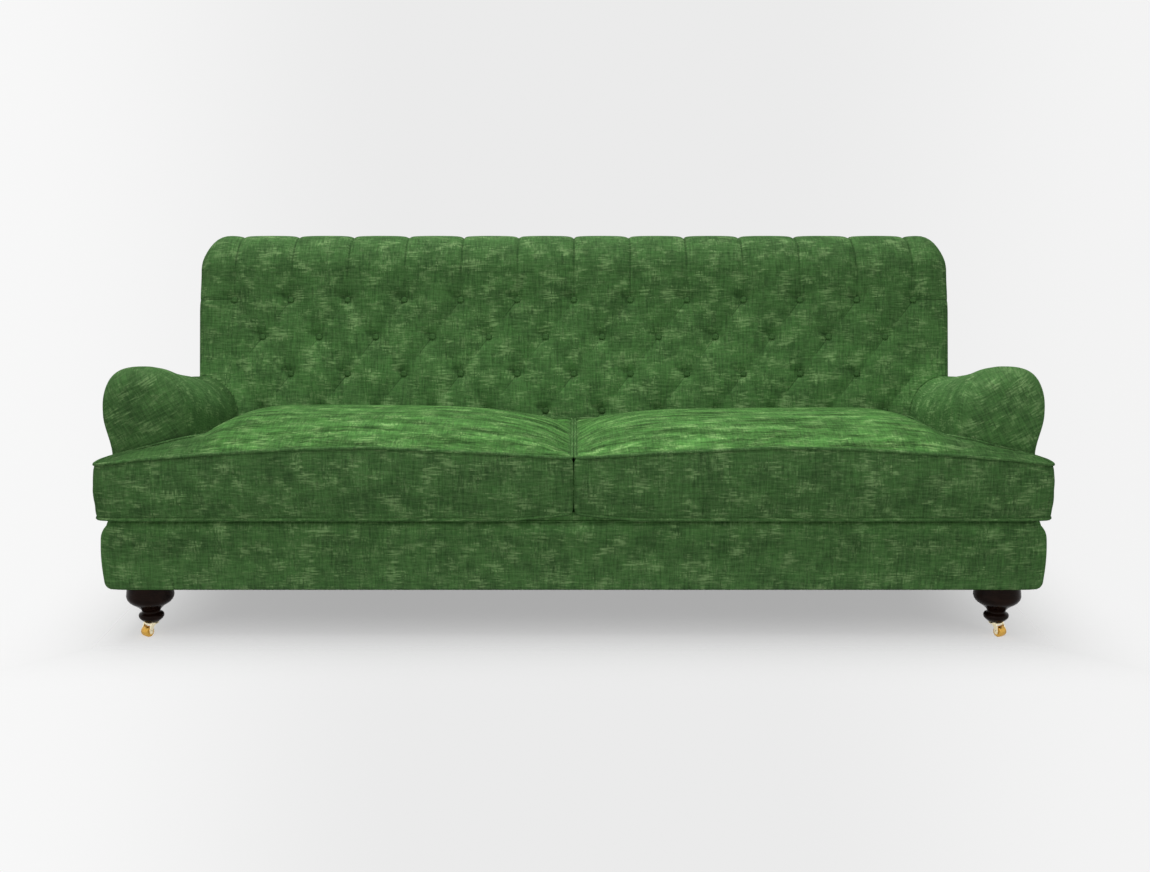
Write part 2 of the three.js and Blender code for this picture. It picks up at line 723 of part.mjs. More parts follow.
// One upright section of the back at x, as points out and up, from its foot over the roll.
function backSection(x) {
  const past = Math.max(Math.abs(x) - (backHalfWidth - backCornerRun), 0) / backCornerRun;
  const drop = backCornerDrop * (1 - Math.sqrt(Math.max(1 - past ** 2, 0)));
  const pastSide = Math.max(Math.abs(x) - (backHalfWidth - backSideRounding), 0) / backSideRounding;
  const drawnIn = backSideRounding * (1 - Math.sqrt(Math.max(1 - pastSide ** 2, 0)));
  const fade = 1 - smooth(Math.abs(x), endButtonX + pleatHalfWidth, backHalfWidth - backSideRounding);
  const points = [];
  const faceTop = topButtonRowHeight + buttonRowPitch / 2;
  for (let i = 0; i < backFaceRowCount; i += 1) {
    const up = faceTop - (backFaceRowCount - 1 - i) * (buttonRowPitch / 2);
    if (up > buttonRowPitch / 4) {
      points.push([drawnIn + fade * tuftDepth(x, up), up]);
    }
  }
  points.unshift([drawnIn, drawnIn * Math.tan(backRake)]);
  const low = backRollTuckAngle;
  for (let i = 0; i <= backRollStepCount; i += 1) {
    const angle = Math.PI - ((Math.PI - low) * i) / backRollStepCount;
    const above = Math.max(Math.sin(angle), 0);
    const fall = smooth(angle, low, Math.PI / 2);
    const radius = backRollRadius - fade * fall * tuftDepth(x, 2 * topButtonRowHeight) - drawnIn;
    const sink = above > 0 ? 1 - drop / (backRollRadius + backCornerDrop) : 1;
    const up = rollHeight + radius * Math.sin(angle) * sink - drop * backCornerSinkShare * above;
    if (i > 0 || rollHeight > faceTop) {
      points.push([backRollRadius + radius * Math.cos(angle), up]);
    }
  }
  const tuckUp = rollHeight + backRollRadius * Math.sin(low);
  const levelFoot = (outerBackFront - clearance) * Math.tan(backRake);
  points.push([outerBackFront - clearance, tuckUp - clearance], [outerBackFront - clearance, levelFoot]);
  return points;
}

function makeBackPad() {
  const stations = [];
  for (let i = 0; i <= 4 * buttonGapCount; i += 1) {
    stations.push((i * buttonPitch) / 4 - endButtonX);
  }
  for (const share of backEndShares) {
    const x = THREE.MathUtils.lerp(endButtonX, backHalfWidth, share);
    stations.push(x);
    stations.unshift(-x);
  }
  const rings = stations.map((x) => backSection(x).map(([out, up]) => new THREE.Vector3(x, out, up)));
  const blank = loft(rings, (point) => [point.y, point.z], (point) => point.y);
  const roomTop = rollHeight + topRailHeight + clearance;
  const rollRear = 2 * backRollRadius;
  const frameRoom = block(-postOuterX - clearance, postOuterX + clearance,
    frameFront, rollRear + overrun, -overrun, roomTop);
  const keepRoll = block(-baseWidth, baseWidth, frameRear, rollRear + 2 * overrun,
    rollHeight - backRollRadius, rollHeight + backRollRadius);
  const toBack = new THREE.Matrix4().compose(rakedBack.position,
    new THREE.Quaternion().setFromEuler(rakedBack.rotation), rakedBack.scale).invert();
  const rightArm = armRoom();
  const leftArm = mirrored(rightArm);
  return cut(blank, cut(frameRoom, keepRoll), rightArm.applyMatrix4(toBack), leftArm.applyMatrix4(toBack));
}

const postFront = backPadThickness + clearance;

// An upright of the back frame. Its foot is sawn level to stand on the rear rail.
function makeUpright(x0, x1, out0, out1) {
  const levelFoot = (out) => (railTop + clearance - seatLevel) / Math.cos(backRake)
    + out * Math.tan(backRake);
  const top = rollHeight - clearance;
  return sideBoard([[out0, levelFoot(out0)], [out1, levelFoot(out1)], [out1, top], [out0, top]], x0, x1);
}

function makeOuterBack() {
  const wide = armOuterX - armTuck;
  const shoulder = (armRearTop - seamDrop - seatLevel) / Math.cos(backRake) + seamDrop / 2;
  const foot = (underBaseHeight - seatLevel) / Math.cos(backRake) + outerBackFront * Math.tan(backRake);
  const top = rollHeight + backRollRadius * Math.sin(backRollTuckAngle) - 2 * clearance;
  const shape = outline([
    [-wide, foot], [wide, foot],
    [wide, shoulder], [backHalfWidth, shoulder + armTuckDrop],
    [backHalfWidth, top], [-backHalfWidth, top],
    [-backHalfWidth, shoulder + armTuckDrop], [-wide, shoulder],
  ]);
  const panel = new THREE.ExtrudeGeometry(shape, { depth: outerBackThickness, bevelEnabled: false });
  return panel.rotateX(Math.PI / 2).translate(0, outerBackFront + outerBackThickness, 0);
}

addPiece('buttoned_back', makeBackPad(), materials.velvet, rakedBack);
addPiece('outer_back', makeOuterBack(), materials.velvet, rakedBack);
addPiece('back_top_rail', block(-postOuterX, postOuterX, postFront, frameRear - clearance,
  rollHeight, rollHeight + topRailHeight), materials.beech, rakedBack);
const stileFront = frameRear - clearance - stileThickness;
addPiece('centre_back_stile', makeUpright(-stileWidth / 2, stileWidth / 2, stileFront,
  frameRear - clearance), materials.beech, rakedBack);
addPiece('back_lower_rail', block(-postInnerX + clearance, postInnerX - clearance, postFront,
  stileFront - clearance, lowerRailLift, lowerRailLift + lowerRailHeight), materials.beech, rakedBack);
for (const side of sides) {
  const post = makeUpright(postInnerX, postOuterX, postFront, frameRear - clearance);
  addPiece(`${side.name}_back_post`, handed(post, side), materials.beech, rakedBack);
}
const webbingStep = (rollHeight - lowerRailLift - lowerRailHeight) / webbingCount;
for (let i = 0; i < webbingCount; i += 1) {
  const middle = lowerRailLift + lowerRailHeight + (i + 0.5) * webbingStep;
  const strap = block(-postOuterX, postOuterX, backPadThickness - webbingThickness, backPadThickness,
    middle - webbingWidth / 2, middle + webbingWidth / 2);
  addPiece(`back_webbing_${i + 1}`, strap, materials.webbing, rakedBack);
}

// Seat cushions: each is a T-cushion's half, with a wing in front of its arm

const cushionInnerX = cushionSeamGap / 2;
const cushionArmX = armInnerX - softClearance;
const cushionWingRear = -cushionOverhang + cushionWingDepth;
const cushionRear = backFootY - cushionBackGap;

// Rises from 0 at an edge to 1 some way in from it.
function swell(distance, run) {
  const share = THREE.MathUtils.clamp(distance / run, 0, 1);
  return 1 - (1 - share) ** cushionFullness;
}

function cushionTop(x, y) {
  const fromFront = y + cushionOverhang;
  const across = (x - cushionInnerX) / (cushionHalfLength - cushionInnerX);
  const rise = cushionFrontRise * Math.sin(Math.PI * THREE.MathUtils.clamp(across, 0, 1))
    * (1 - smooth(fromFront, 0, 2 * cushionSoftRun));
  const body = swell(x - cushionInnerX, cushionSoftRun) * swell(cushionArmX - x, cushionSoftRun)
    * swell(fromFront, cushionDepthRun) * swell(cushionRear - y, cushionDepthRun);
  const wing = swell(cushionHalfLength - x, cushionWingDepth) * swell(fromFront, cushionWingDepth / 2)
    * (y > cushionWingRear && x < cushionArmX ? 1 : swell(cushionWingRear - y, cushionWingDepth / 2));
  const wingFade = smooth(x, cushionArmX / 2, cushionArmX)
    * (1 - smooth(y, cushionWingRear, cushionWingRear + cushionSoftRun));
  const crown = Math.hypot(cushionCrown * body, cushionWingCrown * wing * wingFade);
  return seatLevel + cushionWeltHeight + rise + crown;
}

// A padded slab over the cells of a plan grid: crowned above, flat below, bulging sides.
function paddedSlab(columns, rows, inPlan, topHeight, bottomHeight) {
  const positions = [];
  const indices = [];
  const ids = new Map();
  const vertex = (key, make) => {
    if (!ids.has(key)) {
      ids.set(key, positions.length / 3);
      positions.push(...make());
    }
    return ids.get(key);
  };
  const top = (i, j) => vertex(`t${i},${j}`, () => (
    [columns[i], rows[j], topHeight(columns[i], rows[j])]));
  const low = (i, j) => vertex(`b${i},${j}`, () => [columns[i], rows[j], bottomHeight]);
  const edges = new Map();
  const edge = (i0, j0, i1, j1) => {
    const back = `${i1},${j1}>${i0},${j0}`;
    if (edges.has(back)) {
      edges.delete(back);
    } else {
      edges.set(`${i0},${j0}>${i1},${j1}`, [i0, j0, i1, j1]);
    }
  };
  for (let i = 0; i + 1 < columns.length; i += 1) {
    for (let j = 0; j + 1 < rows.length; j += 1) {
      const midX = (columns[i] + columns[i + 1]) / 2;
      const midY = (rows[j] + rows[j + 1]) / 2;
      if (inPlan(midX, midY)) {
        indices.push(top(i, j), top(i + 1, j), top(i + 1, j + 1));
        indices.push(top(i, j), top(i + 1, j + 1), top(i, j + 1));
        indices.push(low(i, j), low(i + 1, j + 1), low(i + 1, j));
        indices.push(low(i, j), low(i, j + 1), low(i + 1, j + 1));
        edge(i, j, i + 1, j);
        edge(i + 1, j, i + 1, j + 1);
        edge(i + 1, j + 1, i, j + 1);
        edge(i, j + 1, i, j);
      }
    }
  }
  const outwards = new Map();
  for (const [i0, j0, i1, j1] of edges.values()) {
    const along = new THREE.Vector2(columns[i1] - columns[i0], rows[j1] - rows[j0]).normalize();
    for (const key of [`${i0},${j0}`, `${i1},${j1}`]) {
      const sum = outwards.get(key) ?? new THREE.Vector2();
      outwards.set(key, sum.add(new THREE.Vector2(along.y, -along.x)));
    }
  }
  const middle = (i, j) => vertex(`m${i},${j}`, () => {
    const out = outwards.get(`${i},${j}`).clone().clampLength(0, 1).multiplyScalar(cushionBulge);
    const x = columns[i];
    const y = rows[j];
    return [x + out.x, y + out.y, (topHeight(x, y) + bottomHeight) / 2];
  });
  for (const [i0, j0, i1, j1] of edges.values()) {
    indices.push(middle(i0, j0), middle(i1, j1), top(i1, j1));
    indices.push(middle(i0, j0), top(i1, j1), top(i0, j0));
    indices.push(low(i0, j0), low(i1, j1), middle(i1, j1));
    indices.push(low(i0, j0), middle(i1, j1), middle(i0, j0));
  }
  return closedGeometry(positions, indices);
}

// Grid lines between two edges, closer together near both.
function gridLines(from, to, count) {
  return Array.from({ length: count + 1 }, (_, i) => {
    const share = (1 - Math.cos((Math.PI * i) / count)) / 2;
    return THREE.MathUtils.lerp(from, to, share);
  });
}

function makeSeatCushion() {
  const inner = cushionInnerX + cushionBulge;
  const armSide = cushionArmX - cushionBulge;
  const end = cushionHalfLength - cushionBulge;
  const front = -cushionOverhang;
  const wingRear = cushionWingRear - cushionBulge;
  const columns = [...gridLines(inner, armSide, 12), ...gridLines(armSide, end, 4).slice(1)];
  const rear = cushionRear - cushionBulge;
  const rows = [...gridLines(front, wingRear, 4), ...gridLines(wingRear, rear, 9).slice(1)];
  const inPlan = (x, y) => x < armSide || y < wingRear;
  const slab = paddedSlab(columns, rows, inPlan, cushionTop, seatLevel);
  const corners = [[end, front, -1, 1], [end, wingRear, -1, -1], [inner, front, 1, 1],
    [inner, rear, 1, -1], [armSide, rear, -1, -1]];
  const position = slab.attributes.position;
  for (let i = 0; i < position.count; i += 1) {
    for (const [x, y, inX, inY] of corners) {
      if (Math.hypot(position.getX(i) - x, position.getY(i) - y) < cushionCorner) {
        position.setX(i, position.getX(i) + inX * cushionCornerDraw);
        position.setY(i, position.getY(i) + inY * cushionCornerDraw);
      }
    }
  }
  return slab;
}

for (const side of sides) {
  addPiece(`${side.name}_seat_cushion`, handed(makeSeatCushion(), side), materials.velvet);
}

// Legs, their bolts and the castors

const castorAxleHeight = castorWheelRadius * Math.cos(Math.PI / castorWheelSideCount);
const castorCrownBottom = castorAxleHeight + castorWheelRadius + castorCrownDrop;
const castorCrownTop = castorCrownBottom + castorCrownThickness;
const castorPlateBottom = castorCrownTop + clearance;
const castorPlateTop = castorPlateBottom + castorPlateThickness;
const legBottom = castorPlateTop + clearance;
const legTop = underBaseHeight - clearance;

// The turned leg, with a blind hole for the bolt above and one for the castor's stem below.
function makeFrontLeg() {
  const at = (moulding) => THREE.MathUtils.lerp(legBottom, legTop, legHeightShares[moulding]);
  const boltHole = legBoltRadius + clearance;
  const stemHole = stemRadius + clearance;
  const profile = [
    [0, legBottom + stemLength + clearance],
    [stemHole, legBottom + stemLength + clearance],
    [stemHole, legBottom],
    [legFootRadius, legBottom],
    [legFootRadius + 2 * clearance, at('footTop')],
    [(legFootRadius + legRingRadius) / 2, at('ringFlare')],
    [legRingRadius, at('ringLow')],
    [legRingRadius, at('ringHigh')],
    [(legNeckRadius + legRingRadius) / 2, at('neckLow')],
    [legNeckRadius, at('neckHigh')],
    [(legNeckRadius * 2 + legShoulderRadius) / 3, at('cupLow')],
    [(legNeckRadius + legShoulderRadius) / 2, at('cupMiddle')],
    [legShoulderRadius, at('shoulder')],
    [(legShoulderRadius + legBulbRadius) / 2, at('bulbLow')],
    [legBulbRadius, at('bulbMiddle')],
    [legBulbRadius, at('bulbHigh')],
    [(legTopRadius + legBulbRadius) / 2, at('collar')],
    [legTopRadius, legTop],
    [boltHole, legTop],
    [boltHole, legTop - legBoltDepth - clearance],
    [0, legTop - legBoltDepth - clearance],
  ];
  return turned(profile, legSideCount).translate(frontLegX, legSetBack, 0);
}

function makeLegBolt(x, y) {
  const headBottom = blockTop + clearance;
  const profile = [
    [0, legTop - legBoltDepth],
    [legBoltRadius, legTop - legBoltDepth],
    [legBoltRadius, headBottom],
    [legBoltHeadRadius, headBottom],
    [legBoltHeadRadius, headBottom + legBoltHeadHeight],
    [0, headBottom + legBoltHeadHeight],
  ];
  return turned(profile, boltSideCount).translate(x, y, 0);
}

function makeRearLeg() {
  const square = (size, y, z) => [[-1, -1], [1, -1], [1, 1], [-1, 1]].map(([a, b]) => (
    new THREE.Vector3(rearLegX + (a * size) / 2, y + (b * size) / 2, z)));
  const leg = loft([square(rearLegFoot, rearLegY + rearLegRake, 0), square(rearLegTop, rearLegY, legTop)],
    (point) => [point.x, point.y]);
  const hole = rod(legBoltRadius + clearance, legTop - legBoltDepth - clearance,
    legTop + overrun, boltSideCount);
  return cut(leg, hole.translate(rearLegX, rearLegY, 0));
}

// Castor pieces are drawn round the swivel's axis, with the wheel ahead of it on -Y.

function makeCastorPlate() {
  const pinBottom = castorCrownBottom - castorCrownDrop / 3;
  return turned([
    [0, pinBottom],
    [castorPinRadius, pinBottom],
    [castorPinRadius, castorPlateBottom],
    [castorPlateRadius, castorPlateBottom],
    [castorPlateRadius, castorPlateTop],
    [stemRadius, castorPlateTop],
    [stemRadius, castorPlateTop + stemLength],
    [0, castorPlateTop + stemLength],
  ], castorSideCount);
}

const cheekInnerX = castorWheelWidth / 2 + castorCheekGap;
const cheekOuterX = cheekInnerX + castorCheekThickness;

function makeCastorHorn() {
  const crownProfile = [
    [castorPinRadius + runningClearance, castorCrownBottom],
    [castorCrownRadius, castorCrownBottom],
    [castorCrownRadius, castorCrownTop],
    [castorPinRadius + runningClearance, castorCrownTop],
    [castorPinRadius + runningClearance, castorCrownBottom],
  ];
  const crown = turned(crownProfile, castorSideCount);
  const pinHole = rod(castorPinRadius + runningClearance, castorCrownBottom - overrun,
    castorCrownTop + overrun, castorSideCount);
  const bridge = cut(block(-cheekOuterX, cheekOuterX, -castorCrownRadius, castorCrownRadius / 2,
    castorCrownBottom, castorCrownTop), pinHole);
  const cheekShape = new THREE.Shape();
  cheekShape.moveTo(castorCrownRadius / 2, castorCrownTop);
  cheekShape.lineTo(-castorCrownRadius, castorCrownTop);
  cheekShape.lineTo(-castorTrail - castorBossRadius, castorAxleHeight + castorBossRadius);
  cheekShape.absarc(-castorTrail, castorAxleHeight, castorBossRadius, Math.PI, 2 * Math.PI);
  cheekShape.lineTo(-castorTrail + castorBossRadius, castorAxleHeight + castorBossRadius);
  cheekShape.quadraticCurveTo(-castorBossRadius, castorCrownBottom - castorCrownDrop / 2,
    castorCrownRadius / 2, castorCrownBottom);
  const hole = new THREE.Path().absarc(-castorTrail, castorAxleHeight,
    castorAxleRadius + runningClearance, 0, 2 * Math.PI);
  cheekShape.holes.push(hole);
  const cheek = new THREE.ExtrudeGeometry(cheekShape,
    { depth: castorCheekThickness, bevelEnabled: false, curveSegments: castorCurveStepCount });
  const turn = new THREE.Matrix4().makeBasis(
    new THREE.Vector3(0, 1, 0), new THREE.Vector3(0, 0, 1), new THREE.Vector3(1, 0, 0));
  cheek.applyMatrix4(turn);
  const right = cheek.clone().translate(cheekInnerX, 0, 0);
  const left = cheek.clone().translate(-cheekOuterX, 0, 0);
  return join(crown, bridge, right, left);
}

// A turned piece laid along X through the wheel's centre.
function onAxle(profile, sideCount) {
  const geometry = turned(profile, sideCount);
  return geometry.rotateY(Math.PI / 2).translate(0, -castorTrail, castorAxleHeight);
}

function makeCastorAxle() {
  const reach = cheekOuterX + clearance;
  const head = reach + castorAxleHead;
  const headRadius = castorAxleRadius + castorAxleHead;
  return onAxle([
    [0, -head], [headRadius, -head], [headRadius, -reach], [castorAxleRadius, -reach],
    [castorAxleRadius, reach], [headRadius, reach], [headRadius, head], [0, head],
  ], boltSideCount);
}

// The barrel wheel. One flat of its rim is turned down to the floor.
function makeCastorWheel() {
  const half = castorWheelWidth / 2;
  const bore = castorAxleRadius + runningClearance;
  const wheel = turned([
    [bore, -half], [castorWheelRadius - castorWheelEdge / 2, -half],
    [castorWheelRadius, -half + castorWheelEdge], [castorWheelRadius, half - castorWheelEdge],
    [castorWheelRadius - castorWheelEdge / 2, half], [bore, half], [bore, -half],
  ], castorWheelSideCount);
  wheel.rotateZ(Math.PI / castorWheelSideCount);
  return wheel.rotateY(Math.PI / 2).translate(0, -castorTrail, castorAxleHeight);
}

for (const side of sides) {
  addPiece(`${side.name}_front_leg`, handed(makeFrontLeg(), side), materials.ebonised);
  const frontBolt = makeLegBolt(frontLegX, legSetBack);
  addPiece(`${side.name}_front_leg_bolt`, handed(frontBolt, side), materials.steel);
  addPiece(`${side.name}_rear_leg`, handed(makeRearLeg(), side), materials.ebonised);
  const rearBolt = makeLegBolt(rearLegX, rearLegY);
  addPiece(`${side.name}_rear_leg_bolt`, handed(rearBolt, side), materials.steel);
  const castor = new THREE.Group();
  castor.position.set(side.sign * frontLegX, legSetBack, 0);
  castor.rotation.z = side.sign * castorYaw;
  sofa.add(castor);
  addPiece(`${side.name}_castor_plate`, makeCastorPlate(), materials.brass, castor);
  addPiece(`${side.name}_castor_horn`, makeCastorHorn(), materials.brass, castor);
  addPiece(`${side.name}_castor_axle`, makeCastorAxle(), materials.brass, castor);
  addPiece(`${side.name}_castor_wheel`, makeCastorWheel(), materials.brass, castor);
}

// Put the origin on the floor under the middle of the footprint.
sofa.updateMatrixWorld(true);
const room = new THREE.Box3().setFromObject(sofa, true);
sofa.position.y = -(room.min.y + room.max.y) / 2;
sofa.updateMatrixWorld(true);

export default sofa;
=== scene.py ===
# %% [markdown]
# # A buttoned sofa with rolled arms
# The sofa is 2.2 m wide. It has a deep buttoned back, two loose seat cushions that reach in
# front of the arms, a padded base, and turned front legs on brass castors. The CAD model gives
# the frame: its sizes, its moving bodies and the hard pieces that nobody sees. This script
# dresses it. Every length is in metres, Z is up and the sofa faces -Y.

# %% load the frame
import json
import math

import bmesh
import bpy
import numpy as np
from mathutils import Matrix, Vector


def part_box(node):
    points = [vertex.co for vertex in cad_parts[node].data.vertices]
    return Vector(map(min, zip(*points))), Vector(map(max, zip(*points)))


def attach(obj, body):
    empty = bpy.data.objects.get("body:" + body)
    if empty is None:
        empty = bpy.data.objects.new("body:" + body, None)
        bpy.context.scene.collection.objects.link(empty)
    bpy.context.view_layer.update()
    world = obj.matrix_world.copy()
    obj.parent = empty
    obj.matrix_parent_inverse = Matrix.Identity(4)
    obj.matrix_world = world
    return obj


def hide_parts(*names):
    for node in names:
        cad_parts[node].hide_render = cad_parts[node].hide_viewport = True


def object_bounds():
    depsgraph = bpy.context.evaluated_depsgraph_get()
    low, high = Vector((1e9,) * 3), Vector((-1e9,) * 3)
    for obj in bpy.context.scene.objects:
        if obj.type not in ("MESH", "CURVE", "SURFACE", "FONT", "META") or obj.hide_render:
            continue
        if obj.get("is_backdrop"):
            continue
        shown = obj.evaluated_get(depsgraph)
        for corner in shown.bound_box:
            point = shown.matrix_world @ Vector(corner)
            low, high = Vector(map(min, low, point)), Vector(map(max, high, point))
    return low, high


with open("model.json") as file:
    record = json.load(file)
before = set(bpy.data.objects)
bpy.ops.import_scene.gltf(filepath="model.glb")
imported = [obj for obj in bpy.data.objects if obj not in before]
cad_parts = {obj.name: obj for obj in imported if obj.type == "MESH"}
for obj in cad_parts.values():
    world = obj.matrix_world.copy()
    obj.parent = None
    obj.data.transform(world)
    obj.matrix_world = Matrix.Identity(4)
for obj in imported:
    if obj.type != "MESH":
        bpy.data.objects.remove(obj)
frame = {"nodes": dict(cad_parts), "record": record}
cad_low, cad_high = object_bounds()
print("CAD box", [round(x, 3) for x in (*cad_low, *cad_high)])

# %% [markdown]
# ## Sizes that the pieces share
# Covers that meet must agree on where they meet, so their common sizes stand here, once. They
# could be typed again in each piece, but then a change of one would tear a seam. A piece goes
# where the CAD says. Depths are measured from the front of the seat frame, as an upholsterer
# does, and the padding of the base stands 9 mm proud of it. The back leans by 12 degrees, so
# its pieces are drawn upright first, as a distance out from its face and a height up it.

# %% shared sizes
SIDES = {"left": -1, "right": 1}
base_low, base_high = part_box("front_border")
PADDING = 0.009
FRONT = base_low.y + PADDING
BASE_HALF = base_high.x
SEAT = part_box("left_seat_cushion")[0].z
RAKE = math.radians(12)
BACK_FOOT, BACK_DEPTH = 0.571, 0.163
BACK_HALF = 1.010
ROLL_RADIUS, ROLL_UP = 0.105, 0.5174
ARM_INNER, ARM_OUTER = BASE_HALF - 0.197, BASE_HALF + 0.001
ARM_CENTRE, ARM_HALF = (ARM_INNER + ARM_OUTER) / 2, (ARM_OUTER - ARM_INNER) / 2
ARM_ROLL_HEIGHT, ARM_REAR_TOP = 0.106, 0.541
GAP_REACH, GAP_LIFT = 0.15, 0.0145
OUTER_BACK_TOP, SHOULDER_RISE = 0.445, 0.028


def raked(x, out, up):
    """A point of the leaning back: x across, out square to its face, up along it."""
    y = FRONT + BACK_FOOT + out * math.cos(RAKE) + up * math.sin(RAKE)
    z = SEAT - out * math.sin(RAKE) + up * math.cos(RAKE)
    return np.stack(np.broadcast_arrays(x, y, z), axis=-1)


def smooth(value, start, end):
    """Rises from 0 to 1 between two values, with level ends."""
    share = np.clip((value - start) / (end - start), 0, 1)
    return share * share * (3 - 2 * share)


def rear_of_back(z):
    """Depth of the back's rear at a height z."""
    return BACK_FOOT + BACK_DEPTH / math.cos(RAKE) + (z - SEAT) * math.tan(RAKE)


def past_arm(x, z):
    """How far a point of the back's face lies outside the line where an arm meets it."""
    over = np.maximum(z - (ARM_REAR_TOP - ARM_ROLL_HEIGHT), 0) / ARM_ROLL_HEIGHT
    return (np.hypot((np.abs(x) - ARM_CENTRE) / ARM_HALF, over) - 1) * ARM_HALF


def under_gap(x):
    """How near a place is to the middle of the sofa, where the cushions' lower seam lifts."""
    return np.clip(1 - np.abs(x) / GAP_REACH, 0, 1)


def gap_lift(x):
    """How far the cushions' lower seam lifts there."""
    return GAP_LIFT * under_gap(x) ** 1.5


def outer_back_top(x):
    """How far up the outer back goes: further at its ends, where the roll is rounded off."""
    return OUTER_BACK_TOP + SHOULDER_RISE * smooth(np.abs(x) / BACK_HALF, 0.92, 0.98)


print("front at y", round(FRONT, 4), "seat at z", round(SEAT, 4))

# %% [markdown]
# ## Writing shader maths as plain sums
# A procedural finish is a chain of small maths nodes. Wired by hand, line after line, it is
# hard to read. So one small class wraps a socket and lets it be added and multiplied like a
# number, and then a finish reads like a sum. Every other node comes from one method that takes
# its type, its settings and what feeds it.


# %% a socket that can be added and multiplied
class Wire:
    """The output of a shader node, for use in sums."""

    def __init__(self, shader, socket):
        self.shader = shader
        self.socket = socket

    def maths(self, operation, *values):
        return self.shader.node("Math", {"operation": operation}, dict(enumerate(values)))

    def __add__(self, other):
        return self.maths("ADD", self, other)

    def __sub__(self, other):
        return self.maths("SUBTRACT", self, other)

    def __rsub__(self, other):
        return self.maths("SUBTRACT", other, self)

    def __mul__(self, other):
        return self.maths("MULTIPLY", self, other)

    __radd__ = __add__
    __rmul__ = __mul__

    def rises(self, low, high):
        """0 under low, 1 over high, smooth between."""
        settings = {"interpolation_type": "SMOOTHSTEP"}
        return self.shader.node("MapRange", settings, {0: self, 1: low, 2: high})


class Shader:
    """One material or world, and the nodes in it."""

    def __init__(self, owner):
        self.owner = owner
        owner.use_nodes = True
        self.tree = owner.node_tree
        self.tree.nodes.clear()

    def node(self, kind, settings=None, values=None, output=0):
        made = self.tree.nodes.new("ShaderNode" + kind)
        for name, value in (settings or {}).items():
            setattr(made, name, value)
        for name, value in (values or {}).items():
            if isinstance(value, Wire):
                self.tree.links.new(value.socket, made.inputs[name])
            else:
                made.inputs[name].default_value = value
        return Wire(self, made.outputs[output]) if made.outputs else None

    def mix(self, share, first, second):
        values = {0: share, 6: first, 7: second}
        return self.node("Mix", {"data_type": "RGBA"}, values, output=2)

    def place(self):
        """Where a point lies in the sofa, in metres."""
        return self.node("TexCoord", {}, {}, output=3)

    def number(self, name):
        """A number that the points of a piece carry."""
        return self.node("Attribute", {"attribute_name": name}, {}, output=2)

    def split(self, place):
        """The first two numbers of a place."""
        return [self.node("SeparateXYZ", {}, {0: place}, output=k) for k in (0, 1)]

    def seen(self):
        """1 for what the camera sees, straight or in a gloss, and 0 for light on a piece."""
        camera, gloss = [self.node("LightPath", {}, {}, output=k) for k in (0, 3)]
        return camera.maths("MAXIMUM", camera, gloss)

    def noise(self, place, scale, detail=2.0, roughness=0.5):
        """Noise that is stretched by three scales along the place's axes."""
        stretched = self.node("VectorMath", {"operation": "MULTIPLY"}, {0: place, 1: scale})
        values = {"Vector": stretched, "Scale": 1.0, "Detail": detail, "Roughness": roughness}
        return self.node("TexNoise", {}, values)

    def per_thread(self, place):
        """A random number from 0 to 1 for each thread that a place counts."""
        values = {"W": place.maths("FLOOR", place)}
        return self.node("TexWhiteNoise", {"noise_dimensions": "1D"}, values)

    def finish(self, surface, output="OutputMaterial"):
        self.node(output, {}, {"Surface": surface})
        return self.owner

    def principled(self, values):
        return self.node("BsdfPrincipled", {}, values)


def new_shader(name):
    return Shader(bpy.data.materials.new(name))


# %% [markdown]
# ## The green velvet
# The cover is a slubbed chenille velvet. Its yarn varies in thickness and colour, so pale
# patches about 4 cm across lie on a dark ground, and their edges are ragged, because every
# thread changes colour at its own place. A photographed cloth would be one way, but it repeats
# and it blurs when seen close. Here noise makes the patches, and each thread is slid by a
# random length before they are looked up, which gives the ragged edges. Fine lines both ways
# make the weave.
#
# The finish is drawn on the flat cloth: each piece carries a map named cloth that gives, in
# metres, where each point lay before it was sewn, so the weave bends as the cloth does. The
# rounded front of an arm has a second map, flat on it, and a share that says where it counts.
# Three numbers that the points carry do the rest. The first number says how much the cloth is
# crushed by use, which varies its tone at random and, as painted light, makes the top of a
# cushion a little lighter on average. The second number is painted light and shade: it makes a
# piece lighter where the lamps leave it in too much shade, as just under the cushions and
# beside the arms, and darker where they light it too much, as on the roll, the wings and the
# left arm. The crease says how near a fold is, and there the colour is painted near black, as
# painted shade where little light gets in.


# %% velvet
THREADS = 300.0


